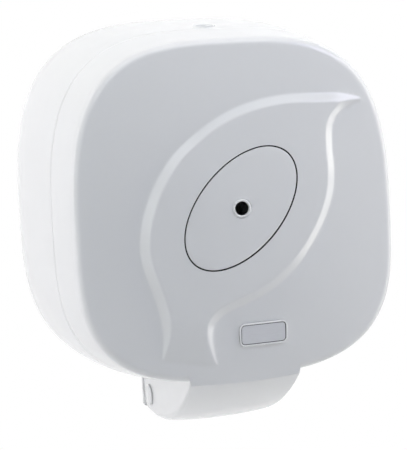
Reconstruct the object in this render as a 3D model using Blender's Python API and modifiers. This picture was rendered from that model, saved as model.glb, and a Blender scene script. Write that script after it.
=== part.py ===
# Centre-pull paper dispenser: a wall housing and a front cover that swings down on two pins in its chin,
# with a raised leaf, a let-in nozzle plate, a roll cradle and a key lock at the top.
# X runs right, Z up, the front faces -Y and the wall is the plane Y = 0.

import math

import bmesh
import bpy
from mathutils import Matrix, Vector

# Driving sizes, in metres

# Fits shared by all pieces
clearance = 0.0003
overrun = 0.002
merge_distance = 0.00001

# Housing and cover shells
wall = 0.003
half_width = 0.135
top_height = 0.160
bottom_height = 0.120
side_inset = 0.0155
top_inset = 0.018
bottom_inset = 0.017
rim_depth = 0.147
rim_radius = 0.006
crown = 0.007
seam_depth = 0.107
seam_gap = 0.0006
taper_power = 1.7
top_exponent = 3.2
rear_bottom_exponent = 2.7
front_bottom_exponent = 3.0
ring_points = 72
rim_steps = 4
housing_depth_shares = (0, 0.2, 0.45, 0.72, 1)
cover_depth_shares = (0, 0.35, 0.7)
face_shares = (0.88, 0.72, 0.54, 0.34, 0.14)

# Back wall of the housing
slot_half_width = 0.00275
slot_half_run = 0.004
slot_across = 0.078
slot_high = 0.098
slot_low = 0.052
boss_radius = 0.009
boss_height = 0.003
rib_thickness = 0.002
rib_height = 0.004
rib_across = 0.050
rib_reach = 0.104

# Leaf raised on the face, as shares of its reach
leaf_reach = 0.100
leaf_height = 0.0035
leaf_sink = 0.0004
leaf_root = 0.0015
leaf_grow_share = 0.13
leaf_steps = 26
leaf_columns = 8
leaf_outer_left_shares = (
    (-0.620, -0.850), (-0.630, -0.620), (-0.690, -0.325), (-0.745, 0.010), (-0.670, 0.345),
    (-0.440, 0.650), (-0.080, 0.905), (0.380, 1.003), (1.015, 0.935))
leaf_inner_left_shares = (
    (-0.605, -0.840), (-0.545, -0.620), (-0.595, -0.340), (-0.665, 0.000), (-0.600, 0.305),
    (-0.385, 0.580), (-0.040, 0.815), (0.360, 0.922), (0.760, 0.895))
leaf_inner_right_shares = (
    (-0.240, -0.900), (-0.285, -0.630), (-0.190, -0.420), (0.120, -0.255), (0.410, -0.045),
    (0.585, 0.180), (0.665, 0.460), (0.660, 0.720), (0.760, 0.895))
leaf_outer_right_shares = (
    (-0.225, -0.910), (-0.208, -0.630), (-0.140, -0.480), (0.165, -0.315), (0.475, -0.085),
    (0.660, 0.190), (0.735, 0.500), (0.745, 0.770), (1.015, 0.935))

# Nozzle plate, an ellipse let into the leaf
plate_long = 0.0515
plate_short = 0.0303
plate_turn = math.radians(45)
plate_gap = 0.0004
plate_height = 0.022
ledge_width = 0.005
plate_sink = 0.001
plate_points = 40
plate_shares = (0.22, 0.5, 0.78, 1)
plate_boss_radius = 0.0032
plate_boss_offset = 0.040
plate_boss_length = 0.0038
plate_pilot_radius = 0.0014
retainer_rim = 0.0011
retainer_thickness = 0.002
retainer_gap = 0.0006
retainer_bore = 0.0215

# Nozzle
nozzle_bore = 0.005
neck_radius = 0.0059
ring_radius = 0.0070
ring_proud = 0.0007
ring_lip = 0.0009
ring_skirt = 0.0022
flange_radius = 0.010
flange_thickness = 0.0018
funnel_radius = 0.019
funnel_length = 0.022
funnel_wall = 0.0016

# Badge plate
badge_width = 0.0365
badge_height = 0.0172
badge_corner = 0.0042
badge_thickness = 0.0016
badge_recess = 0.0008
badge_frame = 0.0013
badge_well = 0.0004
badge_across = 0.0136
badge_below = 0.0702
badge_gap = 0.0003

# Chin of the cover and its hinge
chin_half_width = 0.042
chin_drop = 0.0335
chin_flat_end = 0.032
chin_power = 2.1
chin_steps = 9
lip_set = 0.001
lip_drop = 0.007
lip_cover = 0.005
chin_corner = 0.005
lip_sag = 0.0015
chin_sag = 0.0025
chin_columns = 8
hinge_depth = 0.024
hinge_fall_share = 0.567
cheek_seat = 0.0005
cheek_seam_drop = 0.0035
cheek_embed = 0.0015
hinge_plate_half_width = 0.043
hinge_plate_thickness = 0.0036
hinge_plate_corner = 0.0025
ear_gap = 0.0006
ear_base_gap = 0.0005
ear_low_share = 0.72
lug_thickness = 0.005
lug_radius = 0.011
lug_gap = 0.0005
lug_web = 0.004
lug_embed = 0.0015
tail_gap = 0.002
pin_radius = 0.004
pin_bore_gap = 0.0003
pin_head_radius = 0.0085
pin_head_height = 0.0018
pin_head_round = 0.0008
pin_tail = 0.0022
clip_radius = 0.0078
clip_thickness = 0.001

# Roll cradle
cradle_radius = 0.103
cradle_sheet = 0.0025
cradle_flange = 0.018
cradle_lip = 0.0035
cradle_half_angle = math.radians(58)
cradle_front_gap = 0.003
cradle_steps = 22
cradle_screw_angle = math.radians(38)
cradle_screw_radius = 0.113
cradle_rib_angle = math.radians(22)
cradle_rib_length = 0.060
screw_boss_radius = 0.005
screw_radius = 0.0016
screw_pilot_gap = 0.0003
screw_length = 0.0048
screw_head_radius = 0.004
screw_head_height = 0.0024

# Key lock
lock_behind_seam = 0.016
lock_boss_radius = 0.0095
lock_boss_depth = 0.0052
bush_flange_radius = 0.008
bush_flange_thickness = 0.0016
bush_radius = 0.006
bush_length = 0.0085
bush_bore = 0.0045
nut_flat_radius = 0.0075
nut_thickness = 0.0026
barrel_radius = 0.0042
barrel_tail = 0.0024
tenon_half = 0.0022
key_slot_half_length = 0.003
key_slot_half_width = 0.0006
key_slot_depth = 0.0035
cam_length = 0.0185
cam_half_width = 0.003
cam_thickness = 0.003
cam_hub_radius = 0.0055
cam_screw_radius = 0.0011
cam_screw_depth = 0.006
cam_screw_head = 0.0034
cam_screw_head_height = 0.0018
hook_near = 0.0105
hook_far = 0.0195
hook_strip = 0.0024
hook_drop = 0.0075
hook_wall = 0.003
hook_reach = 0.0065
hook_root = 0.019
hook_headroom = 0.001

# Places worked out from the sizes above
face_edge_depth = rim_depth + rim_radius
face_half_width = half_width - side_inset - rim_radius
face_top = top_height - top_inset - rim_radius
face_bottom = bottom_height - bottom_inset - rim_radius
cover_rear = seam_depth + seam_gap
ledge_depth = face_edge_depth + crown - plate_sink
lip_depth = face_edge_depth - lip_set
lip_bottom = face_bottom + lip_drop
lip_top = face_bottom - lip_cover
chin_base = bottom_height + chin_drop
hinge_below = bottom_height + chin_drop * hinge_fall_share
cheek_round = hinge_below - bottom_height + cheek_seat
hinge_point = Vector((0, -hinge_depth, -hinge_below))
cheek_inner = chin_half_width - wall
lug_outer = cheek_inner - lug_gap
lug_inner = lug_outer - lug_thickness
bay_centre = Vector((0, 0, plate_height))
lock_depth = seam_depth - lock_behind_seam
flange_rear = wall + boss_height + clearance
flange_front = flange_rear + cradle_sheet

white_plastic = ("white gloss plastic", (0.90, 0.90, 0.91), 0.22, 0.0)
inner_plastic = ("white satin plastic", (0.84, 0.84, 0.84), 0.42, 0.0)
lock_plastic = ("pale plastic", (0.78, 0.79, 0.80), 0.35, 0.0)
zinc = ("zinc plated steel", (0.62, 0.63, 0.65), 0.35, 1.0)
badge_metal = ("satin silver", (0.72, 0.73, 0.75), 0.30, 0.8)


# Scene and helpers

for old in list(bpy.data.objects):
    bpy.data.objects.remove(old, do_unlink=True)

parts = bpy.data.collections.new("paper_towel_dispenser")
tools = bpy.data.collections.new("cutters_and_joined_forms")
bpy.context.scene.collection.children.link(parts)
bpy.context.scene.collection.children.link(tools)


def material(look):
    name, colour, roughness, metallic = look
    made = bpy.data.materials.get(name)
    if made:
        return made
    made = bpy.data.materials.new(name)
    made.use_nodes = True
    shader = made.node_tree.nodes["Principled BSDF"]
    shader.inputs["Base Color"].default_value = (*colour, 1)
    shader.inputs["Roughness"].default_value = roughness
    shader.inputs["Metallic"].default_value = metallic
    made.diffuse_color = (*colour, 1)
    return made


def make_object(name, bm, look=None, tidy=True):
    if tidy:
        bmesh.ops.recalc_face_normals(bm, faces=bm.faces)
    mesh = bpy.data.meshes.new(name)
    bm.to_mesh(mesh)
    bm.free()
    made = bpy.data.objects.new(name, mesh)
    if look:
        mesh.materials.append(material(look))
        mesh.shade_smooth()
        mesh.set_sharp_from_angle(angle=math.radians(32))
        parts.objects.link(made)
    else:
        made.hide_render = True
        made.display_type = "WIRE"
        tools.objects.link(made)
    return made


def even_shading(target):
    # Lets the large faces set the shading where pieces of the form meet.
    shading = target.modifiers.new("shading", "WEIGHTED_NORMAL")
    shading.weight = 100
    shading.keep_sharp = True


def solidify(target, thickness):
    shell = target.modifiers.new("wall", "SOLIDIFY")
    shell.thickness = thickness
    shell.offset = -1
    shell.use_even_offset = True


def combine(target, operation, *others):
    for other in others:
        step = target.modifiers.new(other.name, "BOOLEAN")
        step.operation = operation
        step.object = other
        step.solver = "EXACT"


def add_box(bm, low, high):
    low, high = Vector(low), Vector(high)
    size = high - low
    place = Matrix.Translation((low + high) / 2) @ Matrix.Diagonal((*size, 1))
    bmesh.ops.create_cube(bm, size=1, matrix=place)


def add_drum(bm, radius, start, end, segments=32):
    # A cylinder between two points on its axis.
    start, end = Vector(start), Vector(end)
    run = end - start
    turn = run.to_track_quat("Z", "Y").to_matrix().to_4x4()
    place = Matrix.Translation((start + end) / 2) @ turn
    bmesh.ops.create_cone(bm, cap_ends=True, segments=segments, radius1=radius, radius2=radius,
                          depth=run.length, matrix=place)


def add_prism(bm, outline, run):
    # An outline in space, drawn out along a vector.
    face = bm.faces.new([bm.verts.new(point) for point in outline])
    drawn = bmesh.ops.extrude_face_region(bm, geom=[face])
    moved = [item for item in drawn["geom"] if isinstance(item, bmesh.types.BMVert)]
    bmesh.ops.translate(bm, verts=moved, vec=run)


def arc(centre, radius, start, end, steps):
    # Points on an arc in the YZ plane, as (y, z).
    angles = [start + (end - start) * step / steps for step in range(steps + 1)]
    return [(centre[0] + radius * math.cos(angle), centre[1] + radius * math.sin(angle)) for angle in angles]


def tool(name, *adds):
    # A hidden solid that is cut from or joined to a piece.
    bm = bmesh.new()
    for add, *details in adds:
        add(bm, *details)
    return make_object(name, bm)


# Outline of the body

def outline_ring(across, top, bottom, high_power, low_power, depth):
    ring = []
    for step in range(ring_points):
        angle = math.tau * step / ring_points
        cosine, sine = math.cos(angle), math.sin(angle)
        reach = top if sine >= 0 else bottom
        power = high_power if sine >= 0 else low_power
        radius = (abs(cosine / across) ** power + abs(sine / reach) ** power) ** (-1 / power)
        ring.append(Vector((radius * cosine, -depth, radius * sine)))
    return ring


def body_ring(depth, extra=0.0, taper_depth=None):
    share = ((taper_depth or depth) / rim_depth) ** taper_power
    blend = min(1, depth / rim_depth)
    low_power = rear_bottom_exponent + (front_bottom_exponent - rear_bottom_exponent) * blend
    return outline_ring(half_width - side_inset * share - extra, top_height - top_inset * share - extra,
                        bottom_height - bottom_inset * share - extra, top_exponent, low_power, depth)


def body_bottom(depth, across):
    # How far the underside lies below the axis, at a distance from the middle.
    share = (depth / rim_depth) ** taper_power
    power = rear_bottom_exponent + (front_bottom_exponent - rear_bottom_exponent) * depth / rim_depth
    reach = half_width - side_inset * share
    return (bottom_height - bottom_inset * share) * (1 - (across / reach) ** power) ** (1 / power)


def body_top(depth):
    return top_height - top_inset * (depth / rim_depth) ** taper_power


def face_share(across, height):
    reach = face_top if height >= 0 else face_bottom
    power = top_exponent if height >= 0 else front_bottom_exponent
    return (abs(across / face_half_width) ** power + abs(height / reach) ** power) ** (1 / power)


def face_depth(across, height):
    return face_edge_depth + crown * (1 - min(1, face_share(across, height)) ** 2)


def add_loft(bm, rings, close_end=None, close_start=False):
    # Skins between rings of equal count, with a flat face or a centre point at the end.
    rows = [[bm.verts.new(point) for point in ring] for ring in rings]
    count = len(rows[0])
    for first, second in zip(rows, rows[1:]):
        for step in range(count):
            after = (step + 1) % count
            bm.faces.new((first[step], first[after], second[after], second[step]))
    if close_start:
        bm.faces.new(rows[0])
    if close_end == "flat":
        bm.faces.new(rows[-1])
    elif close_end is not None:
        centre = bm.verts.new(close_end)
        for step in range(count):
            bm.faces.new((rows[-1][step], rows[-1][(step + 1) % count], centre))


# Rear housing

def housing_shell():
    bm = bmesh.new()
    rings = [body_ring(seam_depth * share) for share in reversed(housing_depth_shares)]
    add_loft(bm, rings, close_end="flat")
    shell = make_object("rear_housing", bm, white_plastic)
    solidify(shell, wall)
    return shell


def add_slot(bm, across, height, upright):
    # A round-ended hole through the back wall: a drum whose halves are drawn apart.
    before = set(bm.verts)
    add_drum(bm, slot_half_width, (across, overrun, height), (across, -wall - boss_height - overrun, height), 24)
    for vert in set(bm.verts) - before:
        if upright:
            vert.co.z += math.copysign(slot_half_run, vert.co.z - height)
        else:
            vert.co.x += math.copysign(slot_half_run, vert.co.x - across)


def cradle_screw_places():
    for side in (-1, 1):
        angle = side * cradle_screw_angle
        yield side, Vector((cradle_screw_radius * math.sin(angle), 0,
                            plate_height - cradle_screw_radius * math.cos(angle)))


def add_lug(bm, inner):
    # Hangs from the underside of the housing and braces against the hinge plate behind.
    top = -body_bottom(hinge_depth + lug_radius, lug_outer) + lug_embed
    rear = -hinge_plate_thickness + lug_embed
    curve = arc((hinge_point.y, hinge_point.z), lug_radius, math.pi, math.tau, 16)
    outline = [(-hinge_depth - lug_radius, top), *curve, (curve[-1][0], hinge_point.z + lug_web),
               (rear, hinge_point.z + lug_web), (rear, top)]
    add_prism(bm, [Vector((inner, y, z)) for y, z in outline], Vector((lug_thickness, 0, 0)))


def add_ear(bm, inner):
    # Fills the corner between the hinge plate and the round end of the cover's cheek.
    round_end = cheek_round + ear_gap
    low = hinge_point.z - (chin_base - hinge_below) * ear_low_share
    top = -body_bottom(hinge_depth, chin_half_width) + lug_embed
    low_angle = math.asin((low - hinge_point.z) / round_end)
    high_angle = math.radians(62)
    curve = arc((hinge_point.y, hinge_point.z), round_end, low_angle, high_angle, 14)
    behind = -clearance - ear_gap
    reach = [(min(y, behind), z) for y, z in curve]
    outline = [*reach, (reach[-1][0], top), (behind + ear_gap / 2, top), (behind + ear_gap / 2, low)]
    add_prism(bm, [Vector((inner, y, z)) for y, z in outline], Vector((wall, 0, 0)))


def add_hinge_plate(bm):
    low = -chin_base + ear_base_gap
    top = -body_bottom(0, hinge_plate_half_width) + overrun
    add_box(bm, (-hinge_plate_half_width, -hinge_plate_thickness - clearance, low),
            (hinge_plate_half_width, -clearance, top))
    corners = [edge for edge in bm.edges
               if all(abs(vert.co.z - low) < clearance for vert in edge.verts)
               and abs(edge.verts[0].co.x - edge.verts[1].co.x) < clearance]
    bmesh.ops.bevel(bm, geom=corners, offset=hinge_plate_corner, segments=4, profile=1 / 2,
                    affect="EDGES", material=-1)


def lock_plane(offset=0.0):
    return body_top(lock_depth) - offset


def build_housing():
    shell = housing_shell()
    back = -wall - boss_height
    slots = [(add_slot, side * slot_across, height, height > 0)
             for side in (-1, 1) for height in (slot_high, -slot_low)]
    bosses = tool("slot_bosses", *[
        (add_drum, boss_radius, (side * slot_across, -wall / 2, height), (side * slot_across, back, height))
        for side in (-1, 1) for height in (slot_high, -slot_low)])
    screw_bosses = tool("cradle_screw_bosses", *[
        (add_drum, screw_boss_radius, place - Vector((0, wall / 2, 0)), place + Vector((0, back, 0)), 24)
        for _, place in cradle_screw_places()])
    half = rib_thickness / 2
    uprights = tool("upright_ribs", *[
        (add_box, (side * rib_across - half, -wall - rib_height, -rib_reach / 2),
         (side * rib_across + half, -wall / 2, rib_reach)) for side in (-1, 1)])
    cross_ribs = tool("cross_ribs", *[
        (add_box, (-rib_reach, -wall - rib_height + clearance, height - half),
         (rib_reach, -wall / 2, height + half)) for height in (plate_height - rib_across, plate_height + rib_across)])
    lock_boss = tool("lock_boss", (add_drum, lock_boss_radius, (0, -lock_depth, lock_plane(wall / 2)),
                                   (0, -lock_depth, lock_plane(lock_boss_depth))))
    plate = tool("hinge_plate", (add_hinge_plate,))
    ears = tool("hinge_ears", *[(add_ear, inner) for inner in (-chin_half_width, cheek_inner)])
    lugs = tool("hinge_lugs", *[(add_lug, inner) for inner in (-lug_outer, lug_inner)])
    combine(shell, "UNION", bosses, screw_bosses, uprights, cross_ribs, lock_boss, plate, ears, lugs)
    holes = tool("slots", *slots)
    pilots = tool("cradle_pilots", *[
        (add_drum, screw_radius + screw_pilot_gap, place + Vector((0, back - overrun, 0)),
         place + Vector((0, back + screw_length, 0)), 20) for _, place in cradle_screw_places()])
    bores = tool("hinge_bores", (add_drum, pin_radius + pin_bore_gap,
                                 hinge_point - Vector((lug_outer + overrun, 0, 0)),
                                 hinge_point + Vector((lug_outer + overrun, 0, 0)), 28))
    seat = bush_flange_thickness + clearance
    lock_hole = tool("lock_hole",
                     (add_drum, bush_radius + clearance, (0, -lock_depth, lock_plane(-overrun)),
                      (0, -lock_depth, lock_plane(lock_boss_depth + overrun))))
    lock_seat = tool("lock_seat",
                     (add_drum, bush_flange_radius + clearance, (0, -lock_depth, lock_plane(-overrun)),
                      (0, -lock_depth, lock_plane(seat))))
    combine(shell, "DIFFERENCE", holes, pilots, bores, lock_hole, lock_seat)
    even_shading(shell)


# Front cover

def cover_rings():
    shares = [cover_rear + (rim_depth - cover_rear) * share for share in cover_depth_shares]
    rings = [body_ring(depth) for depth in shares]
    for step in range(rim_steps + 1):
        angle = math.pi / 2 * step / rim_steps
        rings.append(body_ring(rim_depth + rim_radius * math.sin(angle), rim_radius * (1 - math.cos(angle)),
                               rim_depth))
    for share in face_shares:
        ring = outline_ring(face_half_width * share, face_top * share, face_bottom * share,
                            top_exponent, front_bottom_exponent, 0)
        for point in ring:
            point.y = -face_edge_depth - crown * (1 - share ** 2)
        rings.append(ring)
    return rings


def leaf_edge(shares, along):
    # A smooth curve through the edge's points, with along from 0 at the stem to 1 at the tip.
    points = [Vector(pair) * leaf_reach for pair in shares]
    place = along * (len(points) - 1)
    index = min(int(place), len(points) - 2)
    local = place - index
    before = points[index - 1] if index > 0 else points[0] * 2 - points[1]
    last = len(points) - 1
    after = points[index + 2] if index + 2 <= last else points[last] * 2 - points[last - 1]
    first, second = points[index], points[index + 1]
    return (first * 2 + (second - before) * local
            + (before * 2 - first * 5 + second * 4 - after) * local ** 2
            + (first * 3 - before - second * 3 + after) * local ** 3) / 2


def leaf_solid():
    # A sheet between the four edges, level with the face outside and raised inside, drawn into the wall.
    bm = bmesh.new()
    bmesh.ops.create_grid(bm, x_segments=leaf_columns, y_segments=leaf_steps, size=1 / 2)
    for vert in bm.verts:
        across = round((vert.co.x + 1 / 2) * leaf_columns)
        along = vert.co.y + 1 / 2
        if across == 0:
            spot = leaf_edge(leaf_outer_left_shares, along)
        elif across == leaf_columns:
            spot = leaf_edge(leaf_outer_right_shares, along)
        else:
            left = leaf_edge(leaf_inner_left_shares, along)
            right = leaf_edge(leaf_inner_right_shares, along)
            spot = left.lerp(right, (across - 1) / (leaf_columns - 2))
        rise = min(1, along / leaf_grow_share)
        rise = rise * rise * (3 - 2 * rise)
        edge = across in (0, leaf_columns)
        height = -leaf_sink if edge else -leaf_sink + (leaf_height + leaf_sink) * rise
        vert.co = (spot.x, -face_depth(spot.x, spot.y) - height, spot.y)
    bmesh.ops.remove_doubles(bm, verts=bm.verts, dist=clearance)
    drawn = bmesh.ops.extrude_face_region(bm, geom=list(bm.faces))
    for item in drawn["geom"]:
        if isinstance(item, bmesh.types.BMVert):
            item.co.y = -face_depth(item.co.x, item.co.z) + leaf_root
    return make_object("leaf", bm)


def ellipse_ring(long_half, short_half, depth, points=None):
    ring = []
    count = points or plate_points
    for step in range(count):
        angle = math.tau * step / count
        along, across = long_half * math.cos(angle), short_half * math.sin(angle)
        x = along * math.cos(plate_turn) - across * math.sin(plate_turn)
        z = along * math.sin(plate_turn) + across * math.cos(plate_turn)
        ring.append(Vector((x, -depth, z + plate_height)))
    return ring


def add_ellipse(bm, shrink, near, far):
    add_loft(bm, [ellipse_ring(plate_long - shrink, plate_short - shrink, depth) for depth in (near, far)],
             close_end="flat", close_start=True)


def chin_underside():
    # The side view of the chin as (y, z): the lip's front, then one long curve back to the start of its flat.
    run, fall = lip_depth - chin_flat_end, chin_base - lip_bottom
    shares = [1 - step / chin_steps for step in range(chin_steps + 1)]
    curve = [(-chin_flat_end - run * share, -chin_base + fall * share ** chin_power) for share in shares]
    return [(-face_edge_depth, -lip_top), *curve, (-hinge_depth, -chin_base)]


def chin_roof():
    # The rear end of the cheeks, round about the hinge, and their top, which ends inside the cover's wall.
    round_low = math.asin((hinge_below - chin_base) / cheek_round)
    round_end = arc((hinge_point.y, hinge_point.z), cheek_round, round_low, math.pi / 2, 12)
    seam_bottom = -body_bottom(cover_rear, chin_half_width)
    lip_end = -body_bottom(rim_depth, chin_half_width)
    step = -cover_rear - clearance
    return round_end, [(step, seam_bottom + cheek_embed - cheek_seam_drop), (step, seam_bottom + cheek_embed),
                       (-rim_depth, lip_end + cheek_embed)]


def inset_path(path, distance):
    # The same path moved inward, to the left of its run, with mitred corners.
    moved = []
    for index, point in enumerate(path):
        before = Vector(path[max(0, index - 1)])
        after = Vector(path[min(len(path) - 1, index + 1)])
        here = Vector(point)
        runs = [run.normalized() for run in (here - before, after - here) if run.length > 0]
        normals = [Vector((-run.y, run.x)) for run in runs]
        middle = (normals[0] + normals[-1]).normalized()
        moved.append(tuple(here + middle * (distance / middle.dot(normals[0]))))
    return moved


def add_bowed_prism(bm, outline, half_breadth, corner, rounded, bowed):
    # Drawn out across X, with the long corners of its first stretch rounded and its underside bowed.
    face = bm.faces.new([bm.verts.new((-half_breadth, y, z)) for y, z in outline])
    drawn = bmesh.ops.extrude_face_region(bm, geom=[face])
    moved = [item for item in drawn["geom"] if isinstance(item, bmesh.types.BMVert)]
    bmesh.ops.translate(bm, verts=moved, vec=(2 * half_breadth, 0, 0))
    across = [edge for edge in bm.edges if abs(edge.verts[0].co.x - edge.verts[1].co.x) > half_breadth]
    bmesh.ops.subdivide_edges(bm, edges=across, cuts=chin_columns - 1, use_grid_fill=True)
    stretch = [Vector(pair) for pair in outline[:rounded]]

    def is_near(vert, points):
        here = Vector((vert.co.y, vert.co.z))
        return min((point - here).length for point in points) < clearance / 3

    def is_corner(edge):
        ends = [abs(vert.co.x) > half_breadth - clearance and is_near(vert, stretch) for vert in edge.verts]
        return all(ends) and edge.verts[0].co.x * edge.verts[1].co.x > 0

    corners = [edge for edge in bm.edges if is_corner(edge)]
    bmesh.ops.bevel(bm, geom=corners, offset=corner, segments=3, profile=1 / 2, affect="EDGES",
                    material=-1, clamp_overlap=False)
    for vert in [vert for vert in bm.verts if is_near(vert, stretch[:bowed])]:
        bow = max(0, 1 - (vert.co.x / cheek_inner) ** 2)
        low = min(1, max(0, (-vert.co.z - lip_bottom) / (chin_base - lip_bottom)))
        held = min(1, max(0, (-vert.co.z - lip_top) / (lip_bottom - lip_top)))
        vert.co.z -= bow * held * (lip_sag + (chin_sag - lip_sag) * low)
    bmesh.ops.triangulate(bm, faces=[face for face in bm.faces if len(face.verts) == 4])


def chin_shell():
    # A full form, hollowed by one wall's thickness smaller, with its floor cut away below the hinge.
    under = chin_underside()
    round_end, roof = chin_roof()
    outline = [*under[:-1], *round_end, *roof]
    hollow = inset_path(under, wall)
    above = -lip_top + chin_corner
    behind = overrun
    inner = [(hollow[0][0], above), *hollow[1:-1], (behind, hollow[-1][1]), (behind, above)]
    bm = bmesh.new()
    end = len(under) - 1 + sum(z < -hinge_below for _, z in round_end)
    add_bowed_prism(bm, outline, chin_half_width, chin_corner, end, len(under))
    made = make_object("chin", bm)
    cavity = tool("chin_hollow", (add_bowed_prism, inner, cheek_inner, chin_corner - wall,
                                  len(inner) - 1, len(inner) - 1))
    notch = tool("chin_notch", (add_box, (-cheek_inner, -hinge_depth - tail_gap, -chin_base - chin_base),
                                (cheek_inner, overrun, -lip_top)))
    combine(made, "DIFFERENCE", cavity, notch)
    return made


def face_place(across, height):
    # A frame on the crowned face: local Z points out of it, local Y up along it.
    step = plate_gap
    slope_x = (face_depth(across + step, height) - face_depth(across - step, height)) / (2 * step)
    slope_z = (face_depth(across, height + step) - face_depth(across, height - step)) / (2 * step)
    outward = -Vector((slope_x, 1, slope_z)).normalized()
    right = Vector((1, 0, 0))
    upward = outward.cross(right).normalized()
    right = upward.cross(outward).normalized()
    turn = Matrix((right, upward, outward)).transposed().to_4x4()
    return Matrix.Translation((across, -face_depth(across, height), height)) @ turn


def add_rounded_slab(bm, width, height, corner, low, high, place, segments=5):
    before = set(bm.verts)
    size = Matrix.Diagonal((width, height, high - low, 1))
    bmesh.ops.create_cube(bm, size=1, matrix=Matrix.Translation((0, 0, (low + high) / 2)) @ size)
    fresh = [vert for vert in bm.verts if vert not in before]
    upright = {edge for vert in fresh for edge in vert.link_edges
               if abs(edge.verts[0].co.z - edge.verts[1].co.z) > (high - low) / 2}
    bmesh.ops.bevel(bm, geom=list(upright), offset=corner, segments=segments, profile=1 / 2, affect="EDGES",
                    material=-1)
    fresh = [vert for vert in bm.verts if vert not in before]
    bmesh.ops.transform(bm, matrix=place, verts=fresh)


def hook_levels():
    top = body_top(seam_depth) - wall - hook_headroom
    return top, top - hook_strip


def add_hook(bm):
    # A strip from the cover's top wall back over the seam, turned down behind the cam's arm.
    top, under = hook_levels()
    rear = -lock_depth + hook_reach
    outline = [(-cover_rear - hook_root, top), (rear, top), (rear, under - hook_drop),
               (rear - hook_wall, under - hook_drop), (rear - hook_wall, under), (-cover_rear - hook_root, under)]
    add_prism(bm, [Vector((hook_near, y, z)) for y, z in outline], Vector((hook_far - hook_near, 0, 0)))


def build_cover():
    bm = bmesh.new()
    add_loft(bm, cover_rings(), close_end=(0, -face_edge_depth - crown, 0))
    cover = make_object("front_cover", bm, white_plastic)
    solidify(cover, wall)
    chin = chin_shell()
    leaf = leaf_solid()
    combine(cover, "UNION", leaf, chin, tool("hook", (add_hook,)))
    recess = tool("plate_recess", (add_ellipse, -plate_gap, ledge_depth, ledge_depth + 2 * crown))
    through = tool("plate_opening", (add_ellipse, ledge_width, ledge_depth - 2 * crown, ledge_depth + overrun))
    badge_place = face_place(badge_across, -badge_below)
    badge_cut = tool("badge_recess", (add_rounded_slab, badge_width + 2 * badge_gap, badge_height + 2 * badge_gap,
                                      badge_corner + badge_gap, -badge_recess, overrun, badge_place))
    holes = tool("cheek_holes", *[
        (add_drum, pin_radius + pin_bore_gap, hinge_point + Vector((side * (cheek_inner - overrun), 0, 0)),
         hinge_point + Vector((side * (chin_half_width + overrun), 0, 0)), 28) for side in (-1, 1)])
    combine(cover, "DIFFERENCE", recess, through, badge_cut, holes)
    even_shading(cover)


# Nozzle plate and what holds it

def plate_face_ring(share, lift):
    ring = ellipse_ring(plate_long * share, plate_short * share, 0)
    for point in ring:
        point.y = -face_depth(point.x, point.z) - lift
    return ring


def boss_places():
    for side in (-1, 1):
        offset = side * plate_boss_offset
        yield side, Vector((offset * math.cos(plate_turn), 0, plate_height + offset * math.sin(plate_turn)))


def build_nozzle_plate():
    back = ledge_depth + clearance
    centre = (0, -face_depth(0, plate_height) - leaf_height, plate_height)
    bm = bmesh.new()
    rings = [ellipse_ring(plate_long, plate_short, back)]
    rings += [plate_face_ring(share, leaf_height) for share in reversed(plate_shares)]
    add_loft(bm, rings, close_end=centre, close_start=True)
    plate = make_object("nozzle_plate", bm, white_plastic)
    end = -back + plate_boss_length
    bosses = tool("plate_bosses", *[
        (add_drum, plate_boss_radius, place - Vector((0, back + retainer_thickness / 2, 0)),
         place + Vector((0, end, 0)), 24) for _, place in boss_places()])
    combine(plate, "UNION", bosses)
    pilots = tool("plate_pilots", *[
        (add_drum, plate_pilot_radius, place + Vector((0, end + overrun, 0)),
         place + Vector((0, end - plate_boss_length, 0)), 20) for _, place in boss_places()])
    front = face_depth(0, plate_height) + leaf_height
    bore = tool("nozzle_hole", (add_drum, neck_radius + clearance, bay_centre - Vector((0, front + overrun, 0)),
                                bay_centre - Vector((0, back - overrun, 0)), 40))
    counterbore = tool("ring_seat", (add_drum, ring_radius + clearance,
                                     bay_centre - Vector((0, front + overrun, 0)),
                                     bay_centre - Vector((0, front - ring_skirt - clearance, 0)), 40))
    combine(plate, "DIFFERENCE", pilots, bore, counterbore)


def retainer_front():
    far_end = ellipse_ring(plate_long - retainer_rim, plate_short - retainer_rim, 0)[0]
    return face_depth(far_end.x, far_end.z) - wall - retainer_gap


def build_retainer():
    front = retainer_front()
    bm = bmesh.new()
    add_ellipse(bm, retainer_rim, front - retainer_thickness, front)
    retainer = make_object("plate_retainer", bm, inner_plastic)
    bore = tool("retainer_bore", (add_drum, retainer_bore, bay_centre - Vector((0, front + overrun, 0)),
                                  bay_centre - Vector((0, front - retainer_thickness - overrun, 0)), 48))
    sockets = tool("retainer_sockets", *[
        (add_drum, plate_pilot_radius + clearance, place - Vector((0, front + overrun, 0)),
         place - Vector((0, front - retainer_thickness - overrun, 0)), 20) for _, place in boss_places()])
    combine(retainer, "DIFFERENCE", bore, sockets)
    return front - retainer_thickness


def screw_profile(shank, length, head, head_height):
    # Along 0 is the underside of the head; the shank runs to minus its length.
    return [(0, -length), (shank - shank / 3, -length), (shank, -length + shank / 2), (shank, 0), (head, 0),
            (head, head_height / 2), (head * 3 / 4, head_height), (0, head_height)]


def add_solid_turned(bm, profile, centre, axis, segments=32):
    # A turned solid whose profile starts and ends on the axis.
    axis = Vector(axis)
    side = Vector((0, 0, 1)) if abs(axis.z) < 1 / 2 else Vector((1, 0, 0))
    points = [Vector(centre) + side * radius + axis * along for radius, along in profile]
    verts = [bm.verts.new(point) for point in points]
    edges = [bm.edges.new(pair) for pair in zip(verts, verts[1:])]
    bmesh.ops.spin(bm, geom=[*verts, *edges], cent=centre, axis=axis, angle=math.tau, steps=segments,
                   use_merge=True)
    bmesh.ops.remove_doubles(bm, verts=bm.verts, dist=merge_distance)


def build_screw(name, look, centre, axis, shank, length, head, head_height, segments=20):
    bm = bmesh.new()
    add_solid_turned(bm, screw_profile(shank, length, head, head_height), centre, axis, segments)
    return make_object(name, bm, look)


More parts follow.
